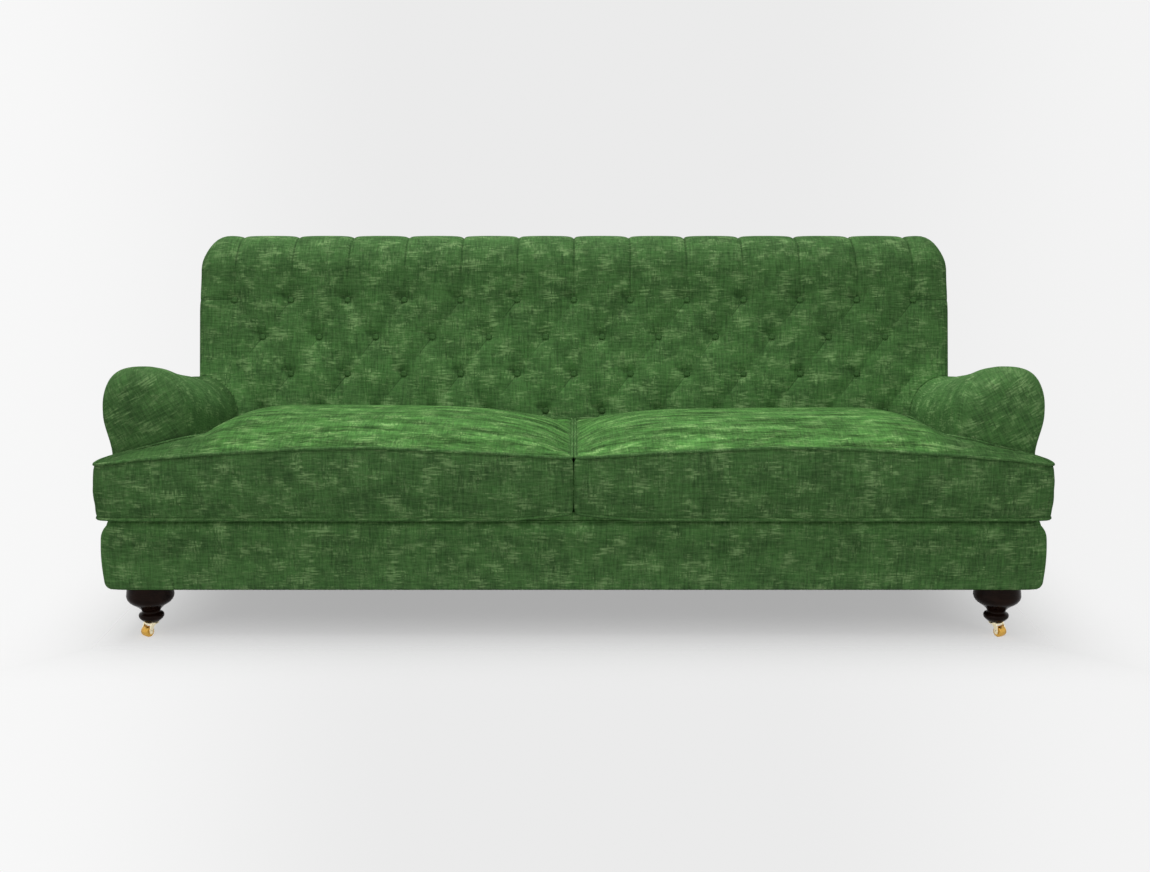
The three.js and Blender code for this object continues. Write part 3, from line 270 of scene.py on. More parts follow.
def weave(shader, place, nap, pile):
    """Colour and height of the cloth at a place on it."""
    along, across = shader.split(place)
    slip = shader.per_thread(across * THREADS)
    creep = shader.per_thread(along * THREADS + 0.5)
    ragged = shader.node("CombineXYZ", {}, {0: along + slip * 0.024, 1: across + creep * 0.014})
    patches = shader.noise(ragged, (25.0, 27.0, 1.0), detail=1.5).rises(0.50, 0.68)
    shades = shader.noise(ragged, (12.0, 18.0, 1.0), detail=3.0, roughness=0.6).rises(0.32, 0.66)
    dashes = shader.noise(place, (26.0, 185.0, 1.0), detail=2.5, roughness=0.7).rises(0.40, 0.62)
    lines = shader.noise(place, (190.0, 17.0, 1.0), detail=2.5, roughness=0.75).rises(0.38, 0.64)
    weft = shader.noise(place, (22.0, 150.0, 1.0), detail=3.0, roughness=0.85)
    warp = shader.noise(place, (150.0, 20.0, 1.0), detail=3.0, roughness=0.85)
    crushed = shader.noise(place, (5.0, 30.0, 1.0), detail=4.0, roughness=0.75)
    uprights = shader.noise(place, (185.0, 30.0, 1.0), detail=2.5, roughness=0.7).rises(0.42, 0.62)
    blocks = shader.noise(ragged, (30.0, 19.0, 1.0), detail=1.0).rises(0.54, 0.70)
    light = patches * (dashes * 0.50 + 0.12) + dashes * 0.12 + blocks * uprights * 0.34
    dark = lines * 0.40 + (1.0 - shades) * 0.42
    deep = (0.030, 0.070, 0.024, 1.0)
    middle = (0.076, 0.190, 0.053, 1.0)
    pale = (0.235, 0.390, 0.155, 1.0)
    colour = shader.mix(dark, middle, deep)
    colour = shader.mix(light, colour, pale)
    # The first number varies the tone with the crushed noise, which on average is painted light on the
    # cushion tops; the second number scales the tone as painted light and shade.
    tone = weft * 1.15 + warp * 1.05 - 0.10 + (crushed - 0.47) * nap * 4.6
    values = {"Value": tone * (pile + 1.0), "Saturation": nap * 0.08 + 1.0, "Color": colour}
    tinted = shader.node("HueSaturation", {}, values)
    height = dashes * 0.45 + lines * -0.25 + weft * 0.5 + warp * 0.5
    return tinted, height


def make_velvet():
    shader = new_shader("velvet")
    place = shader.node("UVMap", {"uv_map": "cloth"})
    front_place = shader.node("UVMap", {"uv_map": "facing"})
    on_front = shader.number("facing_share")
    nap, pile = shader.number("nap"), shader.number("pile")
    tinted, height = weave(shader, place, nap, pile)
    front_tinted, front_height = weave(shader, front_place, nap, pile)
    tinted = shader.mix(on_front, tinted, front_tinted)
    height = height + (front_height - height) * on_front
    # Painted shade: near a fold the colour is mixed towards near black.
    painted_fold_shade = shader.number("crease").rises(0.50, 1.0) * 0.62
    tinted = shader.mix(painted_fold_shade, tinted, (0.012, 0.032, 0.010, 1.0))
    bump = shader.node("Bump", {}, {"Strength": 0.35, "Distance": 0.0012, "Height": height})
    surface = shader.principled(
        {
            "Base Color": tinted,
            "Roughness": 0.95,
            "Specular IOR Level": 0.05,
            "Sheen Weight": 0.06,
            "Sheen Roughness": 0.45,
            "Sheen Tint": (0.30, 0.85, 0.22, 1.0),
            "Normal": bump,
        }
    )
    return shader.finish(surface)


velvet = make_velvet()
print("velvet has", len(velvet.node_tree.nodes), "nodes")

# %% [markdown]
# ## Wood, metal and lining
# The frame is beech, the legs are the same wood stained near black, the castors are brass,
# and the cloth under the sofa is a plain black weave. Each could be a flat colour, which looks
# like plastic when seen close. Wood is noise that is stretched along the grain. A metal's
# roughness varies a little, as hand polish does. Two crossed waves make a plain weave. All
# of them read Object coordinates, which are the place in the sofa, because none of these
# pieces is sewn.


# %% wood, metal and lining
def make_wood(name, dark, light, roughness, coat):
    shader = new_shader(name)
    place = shader.place()
    grain = shader.noise(place, (9.0, 90.0, 90.0), detail=4.0, roughness=0.6)
    pores = shader.noise(place, (30.0, 420.0, 420.0), detail=2.0).rises(0.5, 0.7)
    colour = shader.mix(grain.rises(0.3, 0.7), dark, light)
    height = grain * 0.3 + pores * 0.3
    bump = shader.node("Bump", {}, {"Strength": 0.2, "Distance": 0.0006, "Height": height})
    values = {"Base Color": colour, "Roughness": pores * 0.1 + roughness, "Normal": bump}
    values |= {"Specular IOR Level": 0.045, "Coat Weight": coat, "Coat Roughness": 0.06}
    return shader.finish(shader.principled(values))


def make_metal(name, colour, tarnish, roughness):
    shader = new_shader(name)
    place = shader.place()
    marks = shader.noise(place, (160.0, 160.0, 160.0), detail=4.0)
    tint = shader.mix(marks.rises(0.5, 0.75) * 0.5, colour, tarnish)
    values = {"Base Color": tint, "Metallic": 1.0, "Roughness": marks * 0.12 + roughness}
    return shader.finish(shader.principled(values))


def make_weave(name, dark, light, period):
    shader = new_shader(name)
    place = shader.place()
    wave = {"wave_type": "BANDS", "bands_direction": "X"}
    values = {"Vector": place, "Scale": 1 / period, "Distortion": 0.6}
    across = shader.node("TexWave", wave, values, output=1)
    along = shader.node("TexWave", {**wave, "bands_direction": "Y"}, values, output=1)
    height = across * along
    colour = shader.mix(height, dark, light)
    bump = shader.node("Bump", {}, {"Strength": 0.4, "Distance": 0.0005, "Height": height})
    values = {"Base Color": colour, "Roughness": 0.85, "Normal": bump}
    return shader.finish(shader.principled(values))


beech = make_wood("beech", (0.40, 0.25, 0.12, 1), (0.56, 0.38, 0.20, 1), 0.5, 0.0)
stain_dark, stain_light = (0.0095, 0.0042, 0.0026, 1), (0.019, 0.0085, 0.0055, 1)
ebonised = make_wood("ebonised", stain_dark, stain_light, 0.22, 0.05)
brass = make_metal("brass", (0.74, 0.43, 0.09, 1), (0.52, 0.26, 0.04, 1), 0.26)
pale_brass = make_metal("pale_brass", (0.96, 0.86, 0.60, 1), (0.90, 0.74, 0.42, 1), 0.10)
zinc = make_metal("zinc", (0.60, 0.61, 0.63, 1), (0.42, 0.43, 0.45, 1), 0.35)
spring_steel = make_metal("spring_steel", (0.30, 0.31, 0.33, 1), (0.16, 0.13, 0.10, 1), 0.3)
lining = make_weave("lining", (0.006, 0.006, 0.006, 1), (0.022, 0.022, 0.023, 1), 0.012)
jute = make_weave("jute", (0.09, 0.065, 0.035, 1), (0.24, 0.18, 0.10, 1), 0.02)
print(len(bpy.data.materials), "materials so far")

# %% [markdown]
# ## From rows of points to a mesh
# A cover is cloth, which has a front, a place on the roll that it was cut from, and seams. It
# could be modelled from boxes that are cut and smoothed, but then the flat cloth is lost. So
# most covers are a skin over rows of points, which keeps where its points lie on the flat
# cloth. Some keep a third number with it: how near a point is to a fold. Several skins can be
# welded along shared edges into one piece, and a left piece is the mirror image of a right one.


# %% skins
def skin(points, cloth, closed=False):
    """Vertices, four-sided faces and each face corner's place on the cloth."""
    points = np.asarray(points, float)
    cloth = np.asarray(cloth, float)
    rows, columns = points.shape[:2]
    i, j = np.meshgrid(np.arange(rows - 1), np.arange(columns - (not closed)), indexing="ij")
    i, j = i.ravel(), j.ravel()
    after = (j + 1) % columns
    this_row, next_row = i * columns, (i + 1) * columns
    faces = np.stack([this_row + j, this_row + after, next_row + after, next_row + j], 1)
    corners = [cloth[i, j], cloth[i, j + 1], cloth[i + 1, j + 1], cloth[i + 1, j]]
    return points.reshape(-1, 3), faces, np.stack(corners, 1)


def build(name, skins, material, sign=1, weld=0.0):
    """One mesh object of several skins. sign -1 mirrors it to the left."""
    vertices, faces, places, count = [], [], [], 0
    for v, f, c in skins:
        vertices.append(v)
        faces.append(f + count)
        places.append(c)
        count += len(v)
    vertices, faces = np.concatenate(vertices), np.concatenate(faces)
    places = np.concatenate(places)
    if sign < 0:
        vertices = vertices * (-1, 1, 1)
        faces, places = faces[:, ::-1], places[:, ::-1] * (-1, 1, 1)[: places.shape[-1]]
    mesh = bpy.data.meshes.new(name)
    mesh.from_pydata(vertices.tolist(), [], faces.tolist())
    places = places.astype(np.float32)
    mesh.uv_layers.new(name="cloth").data.foreach_set("uv", places[..., :2].ravel())
    if places.shape[-1] == 3:
        crease = mesh.attributes.new("crease", "FLOAT", "CORNER")
        crease.data.foreach_set("value", places[..., 2].ravel())
    if weld:
        bm = bmesh.new()
        bm.from_mesh(mesh)
        bmesh.ops.remove_doubles(bm, verts=bm.verts, dist=weld)
        bmesh.ops.recalc_face_normals(bm, faces=bm.faces)
        bm.to_mesh(mesh)
        bm.free()
    mesh.shade_smooth()
    mesh.materials.append(material)
    made = bpy.data.objects.new(name, mesh)
    bpy.context.scene.collection.objects.link(made)
    return made


def points_of(piece):
    """The places of a piece's vertices."""
    points = np.zeros(len(piece.data.vertices) * 3)
    piece.data.vertices.foreach_get("co", points)
    return points.reshape(-1, 3)


def mark(piece, name, values):
    """Gives each vertex of a piece a number that the velvet reads."""
    values = np.broadcast_to(values, len(piece.data.vertices)).astype(np.float32)
    piece.data.attributes.new(name, "FLOAT", "POINT").data.foreach_set("value", values)


def lengths(points):
    """How far along a row of points each one lies."""
    steps = np.linalg.norm(np.diff(np.asarray(points, float), axis=0), axis=1)
    return np.concatenate([[0.0], np.cumsum(steps)])


def tell(piece):
    """Prints a piece's name, how many faces it has and its size."""
    size = " x ".join(f"{length:.3f}" for length in piece.dimensions)
    print(f"{piece.name}: {len(piece.data.polygons)} faces, {size} m")


# %% [markdown]
# ## Seat cushions
# Each cushion is half of a T: it fills one side of the seat and has a wing in front of the
# arm. It is a top panel, a bottom panel and a border between them, sewn with piping in both
# seams, and filled with feather, so the top is crowned. It could be a subdivided box, but its
# seams would wander. So both panels are drawn on one grid of cells about 12 mm wide, and the
# seams lie on lines of that grid.

# %% the plan of a cushion
INNER, ARM_SIDE, END = 0.0052, ARM_INNER - 0.009, BASE_HALF - 0.011
CUSHION_FRONT, WING_REAR, CUSHION_REAR = -0.060, 0.040, BACK_FOOT - 0.012
NEARLY = 1e-6
arm_column, last_column = 74, 90
wing_row, last_row = 9, 52


def ticks(start, bend, end, bend_number, last_number):
    """Numbered places along a line: even as far as its bend, and even again after it."""
    before = np.linspace(start, bend, bend_number + 1)
    after = np.linspace(bend, end, last_number - bend_number + 1)
    return np.concatenate([before, after[1:]])


columns = ticks(INNER, ARM_SIDE, END, arm_column, last_column)
rows = ticks(CUSHION_FRONT, WING_REAR, CUSHION_REAR, wing_row, last_row)
in_plan = np.zeros((last_column + 1, last_row + 1), bool)
in_plan[: arm_column + 1] = True
in_plan[:, : wing_row + 1] = True
off_edge = np.zeros_like(in_plan)
off_edge[1:arm_column, 1:last_row] = True
off_edge[1:last_column, 1:wing_row] = True
print("a cushion's panel has", in_plan.sum(), "points,", off_edge.sum(), "of them off its edge")

# %% the edge of the plan, and the cells inside it
edge = [(i, 0) for i in range(last_column + 1)]
edge += [(last_column, j) for j in range(1, wing_row + 1)]
edge += [(i, wing_row) for i in range(last_column - 1, arm_column - 1, -1)]
edge += [(arm_column, j) for j in range(wing_row + 1, last_row + 1)]
edge += [(i, last_row) for i in range(arm_column - 1, -1, -1)]
edge += [(0, j) for j in range(last_row - 1, 0, -1)]
on_edge = tuple(np.array(edge).T)

number_at = np.full(in_plan.shape, -1)
number_at[in_plan] = np.arange(in_plan.sum())
edge_ids = number_at[on_edge]
plan = np.stack(np.broadcast_arrays(columns[:, None], rows[None, :]), -1)[in_plan]
i, j = np.meshgrid(np.arange(last_column), np.arange(last_row), indexing="ij")
in_cells = (i < arm_column) | (j < wing_row)
i, j = i[in_cells], j[in_cells]
cells = [number_at[i, j], number_at[i + 1, j], number_at[i + 1, j + 1], number_at[i, j + 1]]
cells = np.stack(cells, 1)
print("the seam passes", len(edge), "points, round", len(cells), "cells")

# %% [markdown]
# The photograph shows how high the top seam runs, so its height is drawn as a few
# points for each side of the plan. A sheet is stretched over the seam, as rubber would be:
# each point goes to the mean of its four neighbours, over and over. The crown of the filling
# is added on top of that.

# %% heights of the top seam and of the crown
FRONT_SEAM = [(0, 0.459), (0.2, 0.472), (0.46, 0.4845), (0.65, 0.480), (0.85, 0.467)]
FRONT_SEAM += [(1.0, 0.455), (1.09, 0.4425)]
BEHIND_WING_SEAM = [(ARM_SIDE, 0.487), (0.93, 0.480), (0.96, 0.472), (1.03, 0.4545), (1.09, 0.4390)]
INNER_SEAM = [(CUSHION_FRONT, 0.459), (0.1, 0.452), (CUSHION_REAR, 0.434)]
ARM_SEAM = [(WING_REAR, 0.487), (0.2, 0.462), (0.36, 0.445), (CUSHION_REAR, 0.440)]
REAR_SEAM = [(0, 0.434), (ARM_SIDE, 0.440)]
END_SEAM = [(CUSHION_FRONT, 0.4425), (WING_REAR, 0.4390)]
ROUNDS = 2500
WING_CROWN = 0.006


def along(place, line):
    """Height of a hand-drawn line at a place along it."""
    places, heights = zip(*line)
    return np.interp(place, places, heights)


def seam_height(x, y):
    """Height of the top seam at a place on the edge of the plan."""
    behind_front = y > CUSHION_FRONT + NEARLY
    height = np.where(behind_front, along(x, BEHIND_WING_SEAM), along(x, FRONT_SEAM))
    height = np.where((x <= INNER + NEARLY) & behind_front, along(y, INNER_SEAM), height)
    height = np.where((np.abs(x - ARM_SIDE) < NEARLY) & (y > WING_REAR), along(y, ARM_SEAM), height)
    height = np.where(y >= CUSHION_REAR - NEARLY, along(x, REAR_SEAM), height)
    return np.where((x >= END - NEARLY) & behind_front, along(y, END_SEAM), height)


def swell(distance, run, fullness=2.3):
    """Rises from 0 on an edge to 1 a run away from it, steeply first."""
    return 1 - (1 - np.clip(distance / run, 0, 1)) ** fullness


def top_heights(crown, crown_run):
    """Heights of the top panel over the whole grid, with a crown that rises over a run."""
    x, y = np.meshgrid(columns, rows, indexing="ij")
    height = np.full(x.shape, 0.46)
    height[on_edge] = seam_height(x[on_edge], y[on_edge])
    for _ in range(ROUNDS):
        around = sum(np.roll(height, step, axis) for axis in (0, 1) for step in (1, -1))
        height = np.where(off_edge, around / 4, height)
    body = swell(x - INNER, crown_run, 3.0) * swell(ARM_SIDE - x, 0.20)
    body = body * swell(y - CUSHION_FRONT, 0.25, 2.0) * swell(CUSHION_REAR - y, 0.26, 2.0)
    wing = swell(END - x, 0.08) * swell(y - CUSHION_FRONT, 0.05) * swell(WING_REAR - y, 0.05)
    wing = wing * smooth(x, ARM_SIDE - 0.2, ARM_SIDE)
    return height + crown * body + WING_CROWN * wing * (y < WING_REAR)


# %% [markdown]
# The border between the seams bulges a little, except where the two cushions press each other
# flat. The corners of the plan are rounded by drawing them in. Near the middle of the sofa the
# bottom seam lifts, because the filling can't reach into that corner.


# %% the border and the corners
CORNER_REACH, CORNER_DRAW, INNER_DRAW = 0.016, 0.005, 0.002
BULGE, CUSHION_CLEARANCE = 0.0065, 0.0003
SEAM_UP, LIFT_RUN = 0.0015, 0.3
BOTTOM_ON_CLOTH, BORDER_ON_CLOTH = (0, 1.1), (0.31, 2.2)
corners = [(INNER, CUSHION_FRONT, 0, INNER_DRAW), (INNER, CUSHION_REAR, 0, -INNER_DRAW)]
corners += [(END, CUSHION_FRONT, -CORNER_DRAW, CORNER_DRAW)]
corners += [(x, y, -CORNER_DRAW, -CORNER_DRAW) for x, y in ((END, WING_REAR), (ARM_SIDE, CUSHION_REAR))]
levels = np.linspace(0, 1, 12)[1:-1]


def drawn_in(flat):
    """The plan with its corners rounded."""
    moved = flat.copy()
    for x, y, to_x, to_y in corners:
        away = (flat[:, 0] - x) ** 2 + (flat[:, 1] - y) ** 2
        moved += np.exp(-away / CORNER_REACH**2)[:, None] * (to_x, to_y)
    return moved


def border_bands(ring, low_z, top_z):
    """The border's points on each level between the seams, for a ring of places on the edge."""
    ahead = np.roll(ring, -1, 0) - np.roll(ring, 1, 0)
    ahead /= np.linalg.norm(ahead, axis=1, keepdims=True)
    outward = np.column_stack([ahead[:, 1], -ahead[:, 0]])
    on_inner_side = plan[edge_ids, 0] <= INNER + NEARLY
    bands = []
    for share in levels:
        arch = math.sin(math.pi * share)
        bulge = np.where(on_inner_side, (INNER - CUSHION_CLEARANCE) * arch**0.04, BULGE * arch**0.8)
        bands.append(np.column_stack([ring + outward * bulge[:, None], low_z + share * (top_z - low_z)]))
    return bands


# %% the cushion's cover
def cushion_cover(name, sign, crown, crown_run):
    """The cover, the numbers of the points on its seams, and of those held while it is filled."""
    flat = drawn_in(plan)
    to_front = np.clip(1 - (plan[:, 1] - CUSHION_FRONT) / LIFT_RUN, 0, 1)
    low_z = SEAT + SEAM_UP + gap_lift(plan[:, 0]) * to_front
    top_z = top_heights(crown, crown_run)[in_plan]
    ring = flat[edge_ids]
    bands = border_bands(ring, low_z[edge_ids], top_z[edge_ids])
    vertices = np.vstack([np.column_stack([flat, top_z]), np.column_stack([flat, low_z]), *bands])
    size, round_size = len(plan), len(ring)
    band_ids = [2 * size + k * round_size + np.arange(round_size) for k in range(len(bands))]
    band_ids = [size + edge_ids, *band_ids, edge_ids]
    faces = [cells, cells[:, ::-1] + size]
    places = [plan[cells], plan[cells[:, ::-1]] + BOTTOM_ON_CLOTH]
    run = lengths(np.vstack([ring, ring[:1]]))
    following = (np.arange(round_size) + 1) % round_size
    for lower, upper in zip(band_ids[:-1], band_ids[1:]):
        faces.append(np.stack([lower, lower[following], upper[following], upper], 1))
        z0, z1 = vertices[lower, 2], vertices[upper, 2]
        four = [(run[:-1], z0), (run[1:], z0[following]), (run[1:], z1[following]), (run[:-1], z1)]
        places.append(np.stack([np.column_stack(c) for c in four], 1) + BORDER_ON_CLOTH)
    vertices[:, 1] += FRONT
    made = build(name, [(vertices, np.concatenate(faces), np.concatenate(places))], velvet, sign)
    mark_cushion(made, sign)
    inner_corner = 2 * size + np.arange(len(bands)) * round_size
    seams = {"top": edge_ids, "low": size + edge_ids, "inner corner": inner_corner}
    return made, seams, np.concatenate([edge_ids, np.arange(size, 2 * size)])


def mark_cushion(made, sign):
    """The top is crushed by use, which also paints it a little lighter, but the wing isn't.

    Painted shade darkens the border and the wing, in the arm's shade, and painted light makes the
    right cushion's top lighter than the left one's.
    """
    on_wing = smooth(plan[:, 0], ARM_SIDE - 0.10, ARM_SIDE)
    nap, pile = np.zeros(len(made.data.vertices)), np.full(len(made.data.vertices), -0.12)
    nap[: len(plan)] = 1 - 0.7 * on_wing
    nap[edge_ids] = 0
    pile[: len(plan)] = (0.06 if sign > 0 else -0.02) - 0.28 * on_wing
    mark(made, "nap", nap)
    mark(made, "pile", pile)


# %% [markdown]
# ## Filling the cushions
# A real cushion is round because its filling presses on the cover from inside. A cover that is
# only drawn looks pressed, and sculpting it by hand takes long. A short cloth simulation with
# pressure inside and the seams held still lets the panels find their own tension. The move is
# capped, so that the cushion keeps its size, and the result is written into the mesh, so no
# simulation is left.


# %% puff up a cover
def puff(piece, held, pressure, cap, frames=14):
    """Fills a cover. The held points stay, and no point moves further than the cap."""
    group = piece.vertex_groups.new(name="held")
    group.add([int(v) for v in held], 1.0, "REPLACE")
    start = points_of(piece)
    modifier = piece.modifiers.new("filling", "CLOTH")
    cloth = modifier.settings
    cloth.quality = 4
    cloth.mass = 0.35
    cloth.tension_stiffness = cloth.compression_stiffness = 30
    cloth.shear_stiffness = 12
    cloth.bending_stiffness = 0.6
    cloth.use_pressure = True
    cloth.uniform_pressure_force = pressure
    cloth.shrink_min = -0.012
    cloth.vertex_group_mass = "held"
    cloth.effector_weights.gravity = 0
    modifier.collision_settings.use_collision = False
    modifier.point_cache.frame_start, modifier.point_cache.frame_end = 1, frames
    scene = bpy.context.scene
    for number in range(1, frames + 1):
        scene.frame_set(number)
    end = points_of(piece.evaluated_get(bpy.context.evaluated_depsgraph_get()))
    piece.modifiers.remove(modifier)
    piece.vertex_groups.remove(group)
    scene.frame_set(1)
    move = end - start
    far = np.linalg.norm(move, axis=1, keepdims=True)
    move *= np.minimum(1, cap / np.maximum(far, 1e-9))
    piece.data.vertices.foreach_set("co", (start + move).astype(np.float32).ravel())
    piece.data.update()
    print(f"{piece.name}: puffed up by at most {1000 * min(far.max(), cap):.1f} mm")


def soften(piece, sharp_ids, crease):
    """One level of subdivision, with the seams kept as an edge."""
    mesh = piece.data
    held = np.zeros(len(mesh.vertices), bool)
    held[sharp_ids] = True
    pairs = np.zeros(len(mesh.edges) * 2, np.int32)
    mesh.edges.foreach_get("vertices", pairs)
    both = held[pairs.reshape(-1, 2)].all(1)
    attribute = mesh.attributes.new("crease_edge", "FLOAT", "EDGE")
    attribute.data.foreach_set("value", (both * crease).astype(np.float32))
    modifier = piece.modifiers.new("soft", "SUBSURF")
    modifier.levels = modifier.render_levels = 1


# %% [markdown]
# ## Piping
# Piping is a cord in a strip of the same velvet, sewn into the seam, and it hides the stitches.
# A curve with a round bevel would do for a straight cord, but it doesn't say where its cloth
# lies. So it is a tube round the points of the seam. The frame of each ring is carried along
# from the one before it, which keeps the tube from twisting.


# %% a tube along a line of points
CORD_SIDES = 12


def tube(path, radius, sides=CORD_SIDES):
    """A skin round a closed line of points."""
    ahead = np.roll(path, -1, 0) - np.roll(path, 1, 0)
    ahead /= np.linalg.norm(ahead, axis=1, keepdims=True)
    up = np.array([0.0, 0.0, 1.0])
    angles = np.linspace(0, 2 * math.pi, sides, endpoint=False)
    rings = []
    for point, forward in zip(path, ahead):
        up = up - forward * (up @ forward)
        up /= np.linalg.norm(up)
        around = np.outer(np.cos(angles), up) + np.outer(np.sin(angles), np.cross(forward, up))
        rings.append(point + radius * around)
    rings = np.array([*rings, rings[0]])
    run = lengths(np.vstack([path, path[:1]]))
    around = np.append(angles, 2 * math.pi) * radius
    cloth = np.stack(np.broadcast_arrays(run[:, None], around[None, :]), -1)
    return skin(rings, cloth, closed=True)


def settle(path, rounds=2):
    """Smooths a closed line a little, so that the cord doesn't kink."""
    for _ in range(rounds):
        path = path * 0.5 + (np.roll(path, 1, 0) + np.roll(path, -1, 0)) * 0.25
    return path


def outset(path, distance):
    """Moves a closed line outwards in plan."""
    along = np.roll(path, -1, 0) - np.roll(path, 1, 0)
    turned = np.column_stack([along[:, 1], -along[:, 0], np.zeros(len(path))])
    turned /= np.linalg.norm(turned, axis=1, keepdims=True)
    area = np.sum(path[:, 0] * np.roll(path[:, 1], -1) - np.roll(path[:, 0], -1) * path[:, 1])
    return path + turned * distance * np.sign(area)


# %% both cushions
CROWNS = {"left": (0.053, 0.42), "right": (0.045, 0.32)}
CORD_RADIUS, CORD_OUT = 0.0035, 0.0016
CORD_LIFTS = {"top": 0.0012, "low": 0.0022}

for side, sign in SIDES.items():
    cover, seams, held = cushion_cover(f"{side}_cushion_cover", sign, *CROWNS[side])
    puff(cover, held, pressure=3.0, cap=0.008)
    soften(cover, np.concatenate(list(seams.values())), 0.7)
    points = points_of(cover)
    cords = []
    for where, lift in CORD_LIFTS.items():
        line = outset(settle(points[seams[where]]), CORD_OUT) + (0, 0, lift)
        cords.append(tube(line, CORD_RADIUS))
    piping = build(f"{side}_cushion_piping", cords, velvet)
    cord_points = points_of(piping)
    # Painted shade: the underside of the low cord, near the middle, is painted dark through the crease.
    turn = np.arange(len(cord_points)) % CORD_SIDES
    painted_shade_under_cord = (turn > CORD_SIDES / 4) & (turn < CORD_SIDES * 3 / 4)
    on_low_seam = cord_points[:, 2] < SEAT + 0.05
    in_middle = smooth(under_gap(cord_points[:, 0]), -0.2, 0.3)
    mark(piping, "crease", painted_shade_under_cord * on_low_seam * in_middle)
    for piece in (cover, piping):
        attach(piece, f"{side}_cushion")
        tell(piece)
    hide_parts(f"{side}_seat_cushion")

# %% [markdown]
# ## The buttoned back
# Deep buttoning pins the cloth to the frame through a thick pad. Between the buttons the
# spare cloth is laid into pleats, all folded the same way, that run from button to button as
# diamonds, and straight up from the top row, over the roll. It could be sculpted, or pulled in
# by a simulation, but neither puts every fold where the photograph has it. So the whole cover
# is one skin, and a depth is worked out for each point of it, by which the point is moved
# inwards.
#
# Its rows follow the cloth from the seat, up the face, round the roll to the tuck behind, and
# its columns run across and then round each end to the side. Between two rows of buttons there
# are as many steps as between a button and the next one's half way, so that every diagonal
# fold runs through points of the grid and stays sharp.

# %% sizes of the buttoning
ROWS_OF_BUTTONS, MOST_IN_A_ROW = 5, 13
TOP_ROW = 0.437
ROW_PITCH = 0.0997
END_BUTTON = BASE_HALF - 0.185
PITCH = 2 * END_BUTTON / (MOST_IN_A_ROW - 1)
SLOPE = ROW_PITCH / math.hypot(ROW_PITCH, PITCH / 2)
TUCK = math.radians(-42)
TUCK_RUN = ROLL_UP + ROLL_RADIUS * (math.pi - TUCK)
BUTTON_RADIUS, BUTTON_HEIGHT = 0.0085, 0.0046
STEPS = 20
FALL_DEPTH, RISE_DEPTH, DIAMOND_DEPTH = 0.0045, 0.0028, 0.0040
DIMPLE_DEPTH, HOLLOW_DEPTH, TUCK_DEPTH = 0.0060, 0.0040, 0.0036
DIMPLE_REACH, HOLLOW_REACH = 0.016, 0.030
PLEAT_DEPTH, FLUTE_DEPTH, FLUTE_REACH = 0.0050, 0.0030, 0.022
print(f"buttons {PITCH:.4f} m apart, in rows {ROW_PITCH:.4f} m apart")


# %% what every fold needs
def off_line(value):
    """How far, in pitches, a number is from the nearest whole one, with its sign."""
    return value - np.round(value)


def is_free(x, row):
    """Whether a button has room: from the third row down, the arms are in the way."""
    return (np.abs(x) < ARM_INNER) | (row < 2)


def pleat(distance, sharp, soft):
    """Depth share of a pleat that is steep on one side and soft on the other."""
    return np.exp(-np.abs(distance) / np.where(distance > 0, sharp, soft))


def fold(distance, strength, width=0.0065):
    """How near a fold is, from 0 a width away to 1 on it, and less for a weak one."""
    return np.clip(1 - np.abs(distance) / width - (1 - strength) * 0.5, 0, 1)


# %% [markdown]
# Three things give the depth. The diagonal folds run from button to button, those that fall to
# the right deeper than those that rise, and no two alike. Each button pulls a dimple in, with
# a small tuck of spare cloth above and left of it. Above the top row, upright pleats take the
# folds' place.


# %% folds between the buttons
def whim(across, down):
    """A share from 0 to 1 for each diamond, so that no two folds are alike."""
    mixed = np.sin(np.round(across * 2) * 12.9 + np.floor(down) * 78.2) * 43.7
    return mixed - np.floor(mixed)


def diamond_folds(across, down):
    """Depth of the diagonal folds at a place counted in pitches, and its nearness to one."""
    between = down - np.floor(down)
    first, second = off_line(across + down / 2), off_line(across - down / 2)
    fall_away, rise_away = first * PITCH * SLOPE, second * PITCH * SLOPE
    fall_strength = 0.55 + 0.35 * whim(across, down)
    fall_strength = (1 - 0.85 * smooth(between, 0.2, 0.85)) * fall_strength
    rise_strength = 0.1 + 0.5 * smooth(between, 0.55, 1.0)
    fall = pleat(fall_away, 0.0045, 0.009) * fall_strength
    rise = pleat(rise_away, 0.009, 0.006) * rise_strength
    dome = np.abs(np.sin(math.pi * first) * np.sin(math.pi * second))
    depth = FALL_DEPTH * fall + RISE_DEPTH * rise + DIAMOND_DEPTH * (1 - dome)
    return depth, np.maximum(fold(fall_away, fall_strength), fold(rise_away, rise_strength))


# %% dimples under the buttons
TUCK_LEAN = math.radians(24)
TUCK_LEFT, TUCK_ABOVE = 0.019, 0.0095
TUCK_LONG, TUCK_WIDE = 0.019, 0.0085


